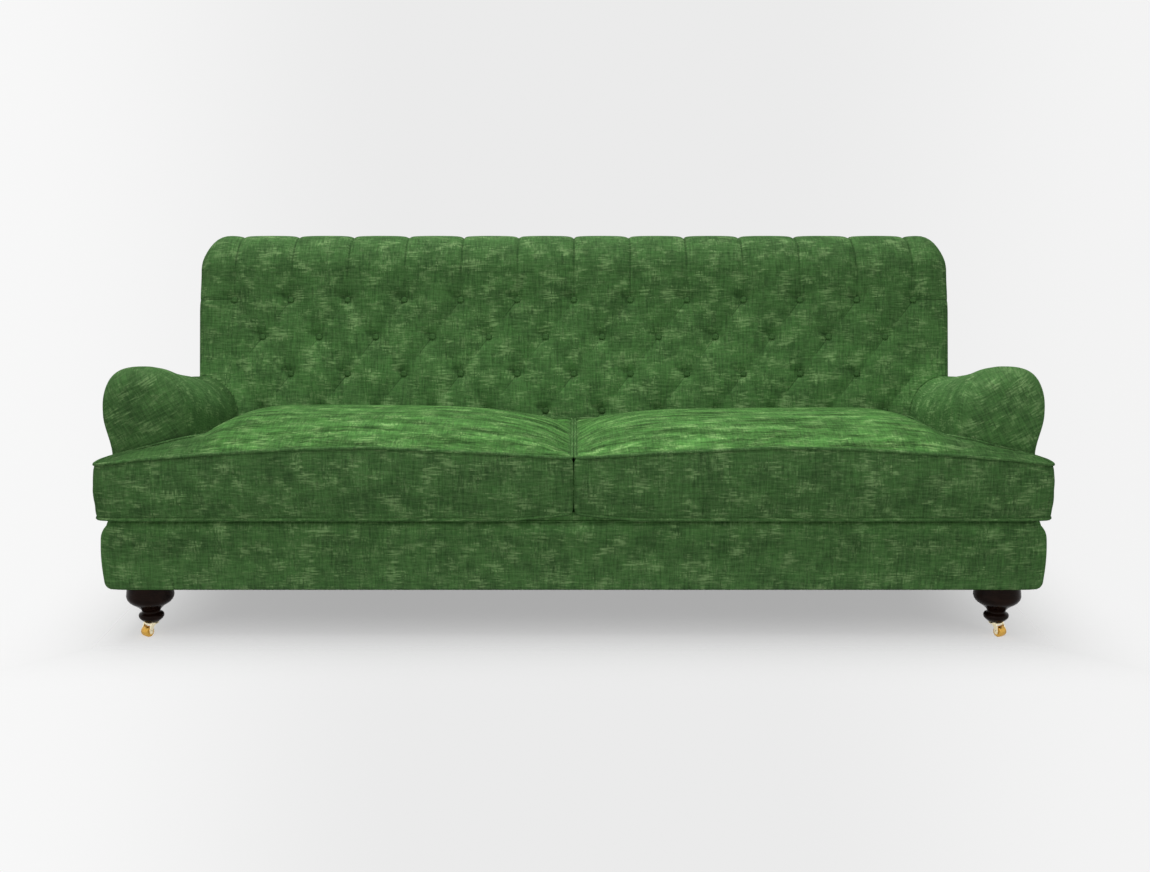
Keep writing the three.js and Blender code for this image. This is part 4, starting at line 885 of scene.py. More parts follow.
def button_dimples(x, across, down):
    """Depth that the nearest button pulls in, and nearness to its rim or its tuck."""
    row = np.clip(np.round(down), 0, ROWS_OF_BUTTONS - 1)
    beside = off_line(across - (row % 2) / 2) * PITCH
    above = -(down - row) * ROW_PITCH
    near = np.hypot(beside, above)
    free = is_free(x - beside, row)
    to_left, to_top = beside + TUCK_LEFT, above - TUCK_ABOVE
    long_share = (to_left * math.cos(TUCK_LEAN) - to_top * math.sin(TUCK_LEAN)) / TUCK_LONG
    wide_share = (to_left * math.sin(TUCK_LEAN) + to_top * math.cos(TUCK_LEAN)) / TUCK_WIDE
    pressed = (row == 3) * smooth(np.abs(x), 0.16, 0.30)
    tuck = np.exp(-(long_share**2) - wide_share**2) * (1 - 0.85 * pressed) * free
    dimple = DIMPLE_DEPTH * np.exp(-((near / DIMPLE_REACH) ** 2))
    dimple = dimple + HOLLOW_DEPTH * np.exp(-near / HOLLOW_REACH)
    # Painted shade: the rim of each button and the tuck above and left of it are painted dark through
    # the crease.
    lines = np.maximum(fold(near - BUTTON_RADIUS, 0.65) * free, 0.80 * np.sqrt(tuck))
    return dimple * free + TUCK_DEPTH * tuck, lines


# %% pleats over the roll, and all of them together
def upright_pleats(across, run):
    """Depth of the pleats above the top row, and nearness to one."""
    spread = 1 + 0.013 * smooth(run, TOP_ROW, TOP_ROW + 0.26)
    away = off_line(across * spread) * PITCH
    depth = PLEAT_DEPTH * pleat(away, 0.0035, 0.006) + FLUTE_DEPTH * np.exp(-np.abs(away) / FLUTE_REACH)
    depth = depth * (1 - smooth(run, TUCK_RUN - 0.08, TUCK_RUN - 0.02))
    strength = 0.55 + 0.45 * smooth(run - TOP_ROW, 0.04, 0.14)
    return depth, fold(away, strength, 0.0095) * (run > TOP_ROW)


def tufts(x, run):
    """Depth of the cloth at a place x across and run up from the seat, and nearness to a fold."""
    across, down = x / PITCH, (TOP_ROW - run) / ROW_PITCH
    folds, diagonal = diamond_folds(across, down)
    dimples, around = button_dimples(x, across, down)
    pleats, upright = upright_pleats(across, run)
    over = smooth(run, TOP_ROW, TOP_ROW + 0.04)
    inside = 1 - smooth(np.abs(x), END_BUTTON + 0.002, END_BUTTON + 0.05)
    to_side = 0.005 * np.exp(-np.abs(run - TOP_ROW) / 0.005) * (1 - inside)
    # Painted shade: these nearnesses become the crease, where the velvet is painted dark.
    lines = np.maximum(diagonal * (1 - over) * (down < ROWS_OF_BUTTONS - 1), upright)
    lines = np.maximum(lines, around) * (inside > 0.3)
    lines = np.maximum(lines, fold(run - TOP_ROW, 0.8) * (np.abs(x) > END_BUTTON))
    return (folds * (1 - over) + pleats * over + dimples) * inside + to_side, lines


# %% [markdown]
# The rounded ends differ along the cloth: the lower back has a tight corner of 26 mm, and the
# roll ends in a soft dome, whose rings all meet on the axis of the roll.


# %% the line that the rows follow
FLANK_DEPTH = 0.168
TUCKED = [(0.181, 0.449), (BACK_DEPTH, 0.440)]
face_rows = TOP_ROW + np.arange(-91, 17) * ROW_PITCH / STEPS
outline = [(0.0, up, 1.0, 0.0) for up in face_rows]
for turn in np.linspace(math.pi, TUCK, 70):
    to_out, to_up = math.cos(turn), math.sin(turn)
    outline.append((ROLL_RADIUS * (1 + to_out), ROLL_UP + ROLL_RADIUS * to_up, -to_out, -to_up))
outline += [(out, up, 0.0, 0.0) for out, up in TUCKED]
outline = np.array(outline)
run_up = lengths(outline[:, :2]) + face_rows[0]
print(len(outline), "rows, the last", round(run_up[-1], 3), "m along the cloth from the seat")

# %% how the columns turn round the ends
in_roll = run_up > ROLL_UP + NEARLY
blend_up = smooth(run_up, 0.40, ROLL_UP)
end_run = 0.026 + 0.046 * blend_up
end_turn = 0.026 + 0.016 * blend_up + 0.063 * smooth(run_up, ROLL_UP, ROLL_UP + 0.15)
middle = np.linspace(-END_BUTTON, END_BUTTON, (MOST_IN_A_ROW - 1) * 2 * STEPS + 1)
outer_shares = np.linspace(0, 1, 13)[1:]
turn_shares = np.linspace(0, 1, 11)[1:]
side_shares = np.linspace(0, 1, 9)[1:]


def across_row(k):
    """Places across a row, and how far each is turned in at the ends."""
    start = BACK_HALF - end_run[k]
    outer = END_BUTTON + (start - END_BUTTON) * outer_shares
    angle = turn_shares * math.pi / 2
    turned_x = start + end_run[k] * np.sin(angle) ** 0.85
    turned_in = end_turn[k] * (1 - np.cos(angle) ** 0.85)
    far = np.interp(outline[k, 1], [0.47, ROLL_UP], [FLANK_DEPTH, ROLL_RADIUS])
    far = ROLL_RADIUS if in_roll[k] else far
    side_in = end_turn[k] + side_shares * max(far - end_turn[k], 0)
    x = np.concatenate([outer, turned_x, np.full(len(side_shares), BACK_HALF)])
    inward = np.concatenate([np.zeros(len(outer)), turned_in, side_in])
    x = np.concatenate([-x[::-1], middle, x])
    return x, np.concatenate([inward[::-1], np.zeros(len(middle)), inward])


# %% the skin of the back
def back_row(k):
    """The points of a row, and for each its place on the cloth and its nearness to a fold, which the
    velvet paints as shade.
    """
    out, up, in_out, in_up = outline[k]
    x, inward = across_row(k)
    tufted, near_fold = tufts(x, run_up[k])
    on_face = (np.abs(x) < BACK_HALF - NEARLY) & (inward < end_turn[k] * 0.98)
    depth = inward + tufted * on_face
    to_axis = inward / ROLL_RADIUS
    if in_out or in_up:
        point_out, point_up = out + in_out * depth, up + in_up * depth
    else:
        point_out = out + (ROLL_RADIUS - out) * to_axis
        point_up = up + (ROLL_UP - up) * to_axis
    if k == len(outline) - 1:
        rise = outer_back_top(x) - OUTER_BACK_TOP
        point_out, point_up = out + 0.14 * rise, up + 1.07 * rise
    place = raked(x, point_out, point_up)
    # Painted shade: a thin dark line is painted where an arm meets the back.
    by_arm = fold(past_arm(place[:, 0], place[:, 2]) - 0.0015, 1.0, 0.006)
    to_axis = np.clip(to_axis, 0, 1)
    flat_up = run_up[k] * (1 - to_axis) + point_up * to_axis
    flat_across = np.sign(x) * (np.abs(x) + inward)
    return place, np.column_stack([flat_across, flat_up, np.maximum(near_fold, by_arm)])


grid, cloth = zip(*(back_row(k) for k in range(len(outline))))
back = build("buttoned_back_cover", [skin(grid, cloth)], velvet, weld=1e-5)
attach(back, "sofa_frame")
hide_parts("buttoned_back")
across, high_up = np.abs(points_of(back)[:, 0]), points_of(back)[:, 2]
# Painted light and shade: the back is painted lighter low down and beside the arms, where their shade
# falls, and darker up on the roll.
by_arm = np.exp(-np.maximum(past_arm(across, high_up), 0) / 0.045)
by_arm = by_arm * (1 - smooth(high_up, 0.56, 0.66))
mark(back, "pile", 0.33 - 0.46 * smooth(high_up, 0.40, 0.80) + 0.40 * by_arm)
tell(back)

# %% [markdown]
# ## Buttons
# A covered button is a metal dome with a scrap of the same velvet pulled over it. There are 59
# of them: the rows hold 13 and 12 by turns, and where the arms are in the way there is none.
# They could be placed by hand, but the same piece many times is a job for Geometry Nodes: a
# mesh with one point for each button, and a tree that puts a button on each point, turned to
# face out of the back, and very slightly different in size. The tree ends by making the
# copies real and giving them the velvet. Then the result is kept as a plain mesh.


# %% where the buttons sit
def button_places():
    """A point for each button, on the cloth under its rim."""
    places = []
    for row in range(ROWS_OF_BUTTONS):
        count = MOST_IN_A_ROW - row % 2
        run = TOP_ROW - row * ROW_PITCH
        for number in range(count):
            x = (number - (count - 1) / 2) * PITCH
            rim_depth = tufts(np.array(x + BUTTON_RADIUS), run)[0]
            if is_free(x, row):
                places.append(raked(x, float(rim_depth) - 0.0005, run))
    return np.array(places)


def button_tree():
    """The tree, and a value for each of its named inputs."""
    tree = bpy.data.node_groups.new("buttons", "GeometryNodeTree")
    face = tree.interface
    face.new_socket("Geometry", in_out="INPUT", socket_type="NodeSocketGeometry")
    radius = face.new_socket("Button radius", in_out="INPUT", socket_type="NodeSocketFloat")
    height = face.new_socket("Button height", in_out="INPUT", socket_type="NodeSocketFloat")
    lean = face.new_socket("Lean", in_out="INPUT", socket_type="NodeSocketFloat")
    cover = face.new_socket("Cover", in_out="INPUT", socket_type="NodeSocketMaterial")
    face.new_socket("Geometry", in_out="OUTPUT", socket_type="NodeSocketGeometry")

    def node(kind, values=None, **settings):
        made = tree.nodes.new(kind)
        for name, value in settings.items():
            setattr(made, name, value)
        for name, value in (values or {}).items():
            if isinstance(value, bpy.types.NodeSocket):
                tree.links.new(value, made.inputs[name])
            else:
                made.inputs[name].default_value = value
        return made.outputs

    given = node("NodeGroupInput")
    ball = node("GeometryNodeMeshUVSphere", {"Segments": 28, "Rings": 14, "Radius": 1.0})
    half = given["Button radius"]
    size = node("ShaderNodeCombineXYZ", {"X": half, "Y": half, "Z": given["Button height"]})
    disc = node("GeometryNodeTransform", {"Geometry": ball["Mesh"], "Scale": size[0]})
    flat = {"Geometry": disc["Geometry"], "Name": "cloth", "Value": node("GeometryNodeInputPosition")[0]}
    button = node("GeometryNodeStoreNamedAttribute", flat, data_type="FLOAT2", domain="CORNER")
    turn = node("ShaderNodeCombineXYZ", {"X": given["Lean"]})
    sizes = node("FunctionNodeRandomValue", {2: 0.95, 3: 1.04, "Seed": 7})
    on_points = {"Points": given["Geometry"], "Instance": button["Geometry"]}
    on_points |= {"Rotation": turn[0], "Scale": sizes[1]}
    put = node("GeometryNodeInstanceOnPoints", on_points)
    real = node("GeometryNodeRealizeInstances", {"Geometry": put["Instances"]})
    even = node("GeometryNodeSetShadeSmooth", {"Geometry": real["Geometry"]})
    dressed = {"Geometry": even["Geometry"], "Material": given["Cover"]}
    dressed = node("GeometryNodeSetMaterial", dressed)
    node("NodeGroupOutput", {"Geometry": dressed["Geometry"]})
    sockets = {radius.identifier: BUTTON_RADIUS, height.identifier: BUTTON_HEIGHT}
    sockets |= {lean.identifier: math.pi / 2 - RAKE, cover.identifier: velvet}
    return tree, sockets


def grown(name, points, tree, sockets):
    """Runs a tree on bare points and keeps what it makes as a plain mesh."""
    mesh = bpy.data.meshes.new(name + "_points")
    mesh.from_pydata([tuple(p) for p in points], [], [])
    seed = bpy.data.objects.new(name + "_points", mesh)
    bpy.context.scene.collection.objects.link(seed)
    modifier = seed.modifiers.new("tree", "NODES")
    modifier.node_group = tree
    for identifier, value in sockets.items():
        modifier[identifier] = value
    graph = bpy.context.evaluated_depsgraph_get()
    result = bpy.data.meshes.new_from_object(seed.evaluated_get(graph), depsgraph=graph)
    result.name = name
    seed.modifiers.remove(modifier)
    bpy.data.objects.remove(seed)
    made = bpy.data.objects.new(name, result)
    bpy.context.scene.collection.objects.link(made)
    return made


tree, sockets = button_tree()
places = button_places()
buttons = grown("back_buttons", places, tree, sockets)
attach(buttons, "sofa_frame")
print(len(places), "buttons")
tell(buttons)

# %% [markdown]
# ## The arms
# A stuffed arm is a roll over a board: the cloth comes up the inside from the seat, over the
# roll, and in under it on the outside. It has no separate facing: the stuffing rounds the
# front edge too. One section pushed along a line would make an even roll, which this isn't.
# So sections are drawn across it, one after another, from the front to the back of the sofa,
# and a skin joins them. Their top falls along a line that was read off the photograph, and
# the first few are drawn in to round the nose. The flat front is a skin of its own inside
# the first one.

# %% the line of the arm's top, and one section
ARM_TOP = [(0.05, 0.643), (0.10, 0.6465), (0.18, 0.6305), (0.266, 0.607), (0.35, 0.588)]
ARM_TOP += [(0.441, 0.5695), (0.50, 0.551), (0.545, 0.542), (0.575, ARM_REAR_TOP)]
ARM_TOP += [(0.61, ARM_REAR_TOP), (0.75, 0.518)]
ARM_FRONT, ARM_REAR, NOSE_RUN = 0.052, 0.80, 0.064
NOSE_INNER, NOSE_OUTER, NOSE_TOP = 0.056, 0.014, 0.044
ARM_SLACK, ARM_TUCK, TUCK_DROP = 0.0005, 0.017, 0.095
INSIDE_POINTS, ROLL_POINTS, UNDER_POINTS, FOOT_POINTS = 23, 49, 13, 9
OUTER_FULLNESS = 2.9


def arm_section(y, nose):
    """Points across the arm at a depth y, from the inner foot over the roll to the outer foot.

    nose is 1 at the very front, where the section is drawn in most, and 0 behind the nose."""
    wide = float(along(y, ARM_TOP)) - ARM_ROLL_HEIGHT
    angles = np.linspace(math.pi, 0, ROLL_POINTS)
    on_inner_half = angles > math.pi / 2
    power = np.where(on_inner_half, 1.0, 2 / OUTER_FULLNESS)
    inner_half = ARM_HALF - NOSE_INNER * nose
    outer_half = ARM_HALF - ARM_SLACK - NOSE_OUTER * nose
    reach = np.where(on_inner_half, inner_half, outer_half)
    x = ARM_CENTRE + reach * np.sign(np.cos(angles)) * np.abs(np.cos(angles)) ** power
    z = wide + (ARM_ROLL_HEIGHT - NOSE_TOP * nose) * np.abs(np.sin(angles)) ** power
    inner_z = np.linspace(SEAT, wide, INSIDE_POINTS + 1)[:-1]
    drop = np.linspace(0, 1, UNDER_POINTS + 1)[1:]
    under_x = ARM_CENTRE + outer_half - (ARM_TUCK - ARM_SLACK) * smooth(drop, 0, 1)
    under_z = wide - TUCK_DROP * drop
    foot_z = np.linspace(wide - TUCK_DROP, base_high.z, FOOT_POINTS + 1)[1:]
    inner_x = np.full(INSIDE_POINTS, ARM_CENTRE - inner_half)
    x = np.concatenate([inner_x, x, under_x, np.full(FOOT_POINTS, under_x[-1])])
    z = np.concatenate([inner_z, z, under_z, foot_z])
    return np.column_stack([x, np.full(len(x), FRONT + y), z])


# %% the skins of an arm
NOSE_STEPS = 15


def front_of_arm(first):
    """The flat front, between the two halves of the first section. It stands a little proud."""
    half = len(first) // 2
    left, right = first[:half], first[::-1][:half]
    shares = np.linspace(0, 1, 21)
    front = left[:, None, :] * (1 - shares[None, :, None]) + right[:, None, :] * shares[None, :, None]
    height = np.clip((first[:, 2].max() - front[..., 2]) / 0.06, 0, 1)
    front[..., 1] -= 0.006 * np.sin(math.pi * shares)[None, :] ** 0.7 * smooth(height, 0, 1)
    return skin(front, front[..., [0, 2]])


def arm_skins():
    """The sections from front to rear, as one skin, and the flat front."""
    turns = np.linspace(0, math.pi / 2, NOSE_STEPS)
    stations = [(ARM_FRONT + NOSE_RUN * (1 - math.cos(a)), 1 - math.sin(a)) for a in turns]
    stations += [(y, 0.0) for y in np.linspace(ARM_FRONT + NOSE_RUN, ARM_REAR, 72)[1:]]
    rings = np.array([arm_section(y, nose) for y, nose in stations])
    rings[..., 1] = np.minimum(rings[..., 1], FRONT + rear_of_back(rings[..., 2]))
    rear_cap = rings[-1].copy()
    rear_cap[:, 0] = ARM_CENTRE
    rings = np.concatenate([rings, [rear_cap]])
    run = lengths(rings[:, INSIDE_POINTS + ROLL_POINTS // 2])
    around = lengths(rings[NOSE_STEPS])
    cloth = np.stack(np.broadcast_arrays(run[:, None], around[None, :]), -1)
    return [skin(rings, cloth + (2.0, 1.0)), front_of_arm(rings[0])]


# %% both arms
def add_facing(piece, turn):
    """A second map for the front of an arm, flat on it, and the share of it at each point."""
    mesh = piece.data
    points = points_of(piece)
    normals = np.zeros(points.size)
    mesh.vertex_normals.foreach_get("vector", normals)
    normals = normals.reshape(-1, 3)
    flat_x = points[:, 0] * math.cos(turn) + points[:, 2] * math.sin(turn)
    flat_z = points[:, 2] * math.cos(turn) - points[:, 0] * math.sin(turn)
    corner = np.zeros(len(mesh.loops), np.int32)
    mesh.loops.foreach_get("vertex_index", corner)
    places = np.column_stack([flat_x, flat_z])[corner].astype(np.float32)
    mesh.uv_layers.new(name="facing").data.foreach_set("uv", places.ravel())
    mark(piece, "facing_share", smooth(np.abs(normals[:, 1]), 0.25, 0.80))


FACING_TURN = math.radians(28)
for side, sign in SIDES.items():
    arm = build(f"{side}_arm_cover", arm_skins(), velvet, sign, weld=1e-5)
    add_facing(arm, FACING_TURN)
    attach(arm, "sofa_frame")
    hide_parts(f"{side}_arm_pad")
    # Painted light and shade: the right arm is painted lighter and the left one darker, both more so
    # towards the rear.
    to_rear = smooth(points_of(arm)[:, 1] - FRONT, 0.30, 0.58)
    mark(arm, "pile", -0.12 - 0.14 * to_rear if sign < 0 else 0.14 + 0.26 * to_rear)
    tell(arm)

# %% [markdown]
# ## The padded base
# One band of velvet over wadding goes round the front and both sides, between the seat and
# the legs. A bevelled box would have one rounding all round, but the wadding is thinner at
# the front corners, which makes them rounder, and above more than below. So it is a section
# that is swept along the plan of the base and changes on the way. The band is painted a
# little lighter, most along its top, as painted light where the cushions shade it. Just under
# the gap between the cushions the lifted seam leaves it bare, so there it gets painted shade
# right below the seam and a brink that is painted light.

# %% the section of the border
LIP = 0.005
BORDER_LOW, BORDER_HIGH, BORDER_DEPTH = base_low.z - LIP, base_high.z, 0.024
BORDER_REAR = rear_of_back(BORDER_HIGH)
BORDER_BULGE, BORDER_SLACK = 0.003, 0.003


def border_section(corner):
    """Outward and upward points of the band. corner is 1 at the sides and 0 along the front."""
    across_top, down_top = 0.012 + 0.022 * corner, 0.014 + 0.026 * corner
    across_low, up_low = 0.007 + 0.007 * corner, 0.009 + 0.009 * corner
    turn = np.linspace(0, math.pi / 2, 9)
    low_z = BORDER_LOW + up_low * (1 - np.cos(turn))
    low = np.column_stack([across_low * (np.sin(turn) - 1), low_z])
    high_z = BORDER_HIGH - down_top * (1 - np.sin(turn))
    high = np.column_stack([across_top * (np.cos(turn) - 1), high_z])
    face = [(0.0, z) for z in np.linspace(low_z[-1], high_z[0], 16)[1:-1]]
    first, last = (-BORDER_DEPTH, BORDER_LOW), (-BORDER_DEPTH, BORDER_HIGH)
    points = np.vstack([first, low, face, high, last])
    share = (points[:, 1] - BORDER_LOW) / (BORDER_HIGH - BORDER_LOW)
    points[:, 0] += BORDER_BULGE * (1 + corner) * np.sin(math.pi * share)
    points[:, 0] -= BORDER_SLACK * (share > 0) * (share < 1)
    return points


# %% the border round the base
CORNER_RADIUS = 0.014


def border_path():
    """Plan of the band from the rear of the left side, round the front, to the right side."""
    right = [(BASE_HALF, y) for y in np.linspace(BORDER_REAR, CORNER_RADIUS, 30)]
    turn = np.linspace(0, math.pi / 2, 9)[1:]
    bend_x = BASE_HALF - CORNER_RADIUS * (1 - np.cos(turn))
    bend = np.column_stack([bend_x, CORNER_RADIUS * (1 - np.sin(turn))])
    front = [(x, 0.0) for x in np.linspace(BASE_HALF - CORNER_RADIUS, 0, 60)[1:]]
    half = np.vstack([right, bend, front])
    return np.concatenate([half * (-1, 1), half[::-1][1:]])


def border_skin():
    """The band, closed at both ends, with painted shade right under the lifted seam."""
    path = border_path()
    ahead = np.gradient(path, axis=0)
    ahead /= np.linalg.norm(ahead, axis=1, keepdims=True)
    outward = np.column_stack([ahead[:, 1], -ahead[:, 0]])
    run = lengths(path)
    rings, cloth = [], []
    last = len(path) - 1
    for k in [0, *range(len(path)), last]:
        place, out = path[k], outward[k]
        corner = smooth(abs(place[0]), BASE_HALF - 0.045, BASE_HALF - 0.002)
        section = border_section(float(corner))
        if len(rings) in (0, last + 2):
            section[:, 0] = -BORDER_DEPTH
        flat = place + out * section[:, :1]
        y = flat[:, 1]
        if abs(out[0]) > 0.99:
            slant = (section[:, 1] - BORDER_HIGH) * math.tan(RAKE)
            y = y + slant * smooth(place[1], 0.3, BORDER_REAR)
        rings.append(np.column_stack([flat[:, 0], FRONT + y, section[:, 1]]))
        # Painted shade: the crease darkens the band just under the lifted seam.
        seam_at = SEAT - 0.016 + gap_lift(place[0])
        in_shade = smooth(section[:, 1], seam_at - 0.005, seam_at - 0.001)
        in_shade = in_shade * smooth(under_gap(place[0]), 0.02, 0.30)
        cloth.append(np.column_stack([np.full(len(section), run[k]), lengths(section), in_shade]))
    return skin(np.array(rings), np.array(cloth))


border = build("base_border_cover", [border_skin()], velvet, weld=1e-6)
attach(border, "sofa_frame")
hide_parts("front_border", "left_side_border", "right_side_border")
across, _, high_up = points_of(border).T
# Painted light: the band, its top where the cushions shade it, and the brink under the gap are painted
# lighter.
painted_top_light = smooth(high_up, BORDER_HIGH - 0.045, BORDER_HIGH - 0.012)
painted_brink_light = smooth(high_up, BORDER_HIGH - 0.034, BORDER_HIGH - 0.014) * under_gap(across)
mark(border, "pile", 0.10 + 0.28 * painted_top_light + 0.45 * painted_brink_light)
tell(border)

# %% [markdown]
# ## Outer panels
# Outside, the arms and the back are flat panels of velvet over thin wadding, sewn on by hand
# last of all. A flat sheet with a thickness would look like card. So each is a soft pad: a
# grid whose edges turn in over the thickness of the pad and whose middle stands a few
# millimetres proud.


# %% a soft flat panel
def panel(corner_at, normal, thickness, bulge, width, height):
    """A pad over the unit square. corner_at(u, v) gives its points."""
    turn = thickness
    edges = turn * np.array([0, 0.05, 0.2, 0.5, 1.0])

    def lines(length, step=0.03):
        inner = np.linspace(turn, length - turn, max(3, int(length / step)))
        return np.concatenate([edges[:-1], inner, (length - edges[:-1])[::-1]]) / length

    u, v = np.meshgrid(lines(width), lines(height), indexing="ij")
    near = np.minimum(np.minimum(u, 1 - u) * width, np.minimum(v, 1 - v) * height)
    share = np.clip(near / turn, 0, 1)
    out = thickness * np.sqrt(1 - (1 - share) ** 2) - thickness
    out += bulge * (np.sin(math.pi * u) * np.sin(math.pi * v)) ** 0.5
    points = corner_at(u, v) + out[..., None] * np.asarray(normal)
    return points, np.stack([u * width, v * height], -1)


# %% the outer arms
PANEL_FRONT, PANEL_RUN, PANEL_OVERLAP = 0.0866, 0.64, 0.004
JOIN_GAP = 0.0006


def outer_arm_points(u, v):
    """From the border up to under the roll, and from the front to the rear of the back."""
    low = BORDER_HIGH + JOIN_GAP
    top = along(PANEL_FRONT + u * PANEL_RUN, ARM_TOP) - ARM_ROLL_HEIGHT - TUCK_DROP + PANEL_OVERLAP
    z = low + (top - low) * v
    y = PANEL_FRONT + (rear_of_back(z) - PANEL_FRONT) * u
    x = np.full(np.shape(z), ARM_OUTER - ARM_TUCK)
    return np.stack([x, FRONT + y, z], -1)


for side, sign in SIDES.items():
    points, cloth = panel(outer_arm_points, (1, 0, 0), 0.006, 0.003, 0.62, 0.13)
    outer = build(f"{side}_outer_arm_cover", [skin(points, cloth + (5, 0))], velvet, sign, weld=1e-6)
    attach(outer, "sofa_frame")
    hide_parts(f"{side}_outer_arm")
    tell(outer)


# %% the outer back
FOOT_HEIGHT = 0.136
PAD_INSIDE, PAD_OUTSIDE = BACK_DEPTH + JOIN_GAP, 0.1716


def outer_back_points(u, v):
    """From the rails up to the roll. Above the arms it is narrower than below them."""
    across = 2 * u - 1
    foot = (FOOT_HEIGHT - SEAT) / math.cos(RAKE) + PAD_INSIDE * math.tan(RAKE)
    up = foot + (outer_back_top(across * BACK_HALF) - foot) * v
    half = np.interp(up, [0.115, 0.200], [ARM_OUTER - ARM_TUCK, BACK_HALF])
    return raked(across * half, np.full(np.shape(up), PAD_OUTSIDE), up)


away_from_back = (0, math.cos(RAKE), -math.sin(RAKE))
points, cloth = panel(outer_back_points, away_from_back, 0.007, 0.003, 2.1, 0.6)
outer_back = build("outer_back_cover", [skin(points, cloth)], velvet, weld=1e-6)
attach(outer_back, "sofa_frame")
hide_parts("outer_back")
tell(outer_back)

# %% [markdown]
# ## Under the cushions and under the sofa
# The sprung deck is covered with plain lining, with a strip of velvet along its front where
# it could be seen. They could be one piece with two finishes, but on the real sofa they are
# two cloths, sewn together. Under the sofa a black cloth, stapled to the rails, keeps the dust
# out. It hangs a few millimetres between its staples, so a flat sheet with a sag is enough.


# %% the deck
STRIP_HALF, STRIP_FRONT, STRIP_REAR = 1.0757, 0.0243, 0.118
DECK_HALF, DECK_FRONT, DECK_PAD = 0.935, 0.114, 0.02
deck_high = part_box("seat_deck")[1]


def covered(y):
    """Painted shade: 0 in front, where light gets under the lifted seam, and 1 behind, where the strip
    is painted dark.
    """
    return smooth(y - FRONT, 0.034, 0.042)


def deck_panel(half, front, rear):
    """A level pad on the springs."""

    def at(u, v):
        y = FRONT + front + (rear - front) * v
        return np.stack([half * (2 * u - 1), y, np.full(np.shape(u), deck_high.z)], -1)

    points, cloth = panel(at, (0, 0, 1), DECK_PAD, 0.0, 2 * half, rear - front)
    # The third number is the crease: painted shade behind the strip's front.
    return skin(points, np.concatenate([cloth + (3 - half, front), covered(points[..., 1:2])], -1))


strip_skin = deck_panel(STRIP_HALF, STRIP_FRONT, STRIP_REAR)
strip = build("deck_front_strip", [strip_skin], velvet, weld=1e-6)
deck_skin = deck_panel(DECK_HALF, DECK_FRONT, deck_high.y - FRONT)
deck = build("deck_cover", [deck_skin], lining, weld=1e-6)
across, depth, _ = points_of(strip).T
# Painted light: the front of the strip, under the lifted seam, is painted lighter, most in the middle.
mark(strip, "pile", (0.38 + 0.45 * under_gap(across)) * (1 - covered(depth)))
for piece, slot in ((strip, "velvet"), (deck, "black_lining")):
    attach(piece, "sofa_frame")
    tell(piece)
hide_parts("seat_deck")

# %% the dust cloth
NOTCH, SAG = 0.15, 0.006


def dust_cloth_skin():
    """The sheet with a notch at each corner for the legs, its flat size and its area."""
    low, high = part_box("dust_cloth")
    x = np.concatenate([[low.x], np.linspace(low.x + NOTCH, high.x - NOTCH, 60), [high.x]])
    y = np.concatenate([[low.y], np.linspace(low.y + NOTCH, high.y - NOTCH, 20), [high.y]])
    grid_x, grid_y = np.meshgrid(x, y, indexing="ij")
    u, v = (grid_x - low.x) / (high.x - low.x), (grid_y - low.y) / (high.y - low.y)
    sag = SAG * np.sin(math.pi * np.clip(u, 0, 1)) ** 0.3 * np.sin(math.pi * np.clip(v, 0, 1))
    points = np.stack([grid_x, grid_y, low.z - sag], -1)
    vertices, faces, corner = skin(points, np.stack([grid_x, grid_y], -1))
    middle = vertices[faces].mean(1)
    at_side = np.abs(middle[:, 0]) > high.x - NOTCH
    at_end = (middle[:, 1] < low.y + NOTCH) | (middle[:, 1] > high.y - NOTCH)
    kept = ~(at_side & at_end)
    size = (high.x - low.x, high.y - low.y)
    return (vertices, faces[kept], corner[kept]), size, size[0] * size[1] - 4 * NOTCH * NOTCH


dust_skin, dust_size, dust_area = dust_cloth_skin()
dust = build("dust_cloth_sheet", [dust_skin], lining)
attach(dust, "sofa_frame")
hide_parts("dust_cloth")
tell(dust)

# %% [markdown]
# ## Turned legs
# A front leg is turned on a lathe: a bulb under the base, a cup that sweeps in to a thin neck,
# a ring, and a short foot that stands on the castor. It is stained near black, and only faint
# lights lie on it. Blender can spin a profile with a modifier or an operator. Here a small
# helper does it, because the castors need it too, with a tilt, and the skin keeps the map.


# %% a lathe
def spun(profile, centre, name, material, sides=72, tilt=None):
    """Spins a profile of (radius, height) points about an upright axis, or a tilted one."""
    profile = np.array(profile, float)
    angles = np.linspace(0, 2 * math.pi, sides, endpoint=False)
    circle = np.column_stack([np.cos(angles), np.sin(angles), np.zeros(sides)])
    rings = np.array([r * circle + (0, 0, z) for r, z in profile])
    if tilt is not None:
        rings = rings @ np.array(tilt).T
    rings = rings + np.asarray(centre)
    around, run = np.append(angles, 2 * math.pi) * 0.05, lengths(profile)
    cloth = np.stack(np.broadcast_arrays(around[None, :], run[:, None]), -1)
    made = build(name, [skin(rings, cloth, closed=True)], material, weld=1e-6)
    made.data.set_sharp_from_angle(angle=math.radians(50))
    return made


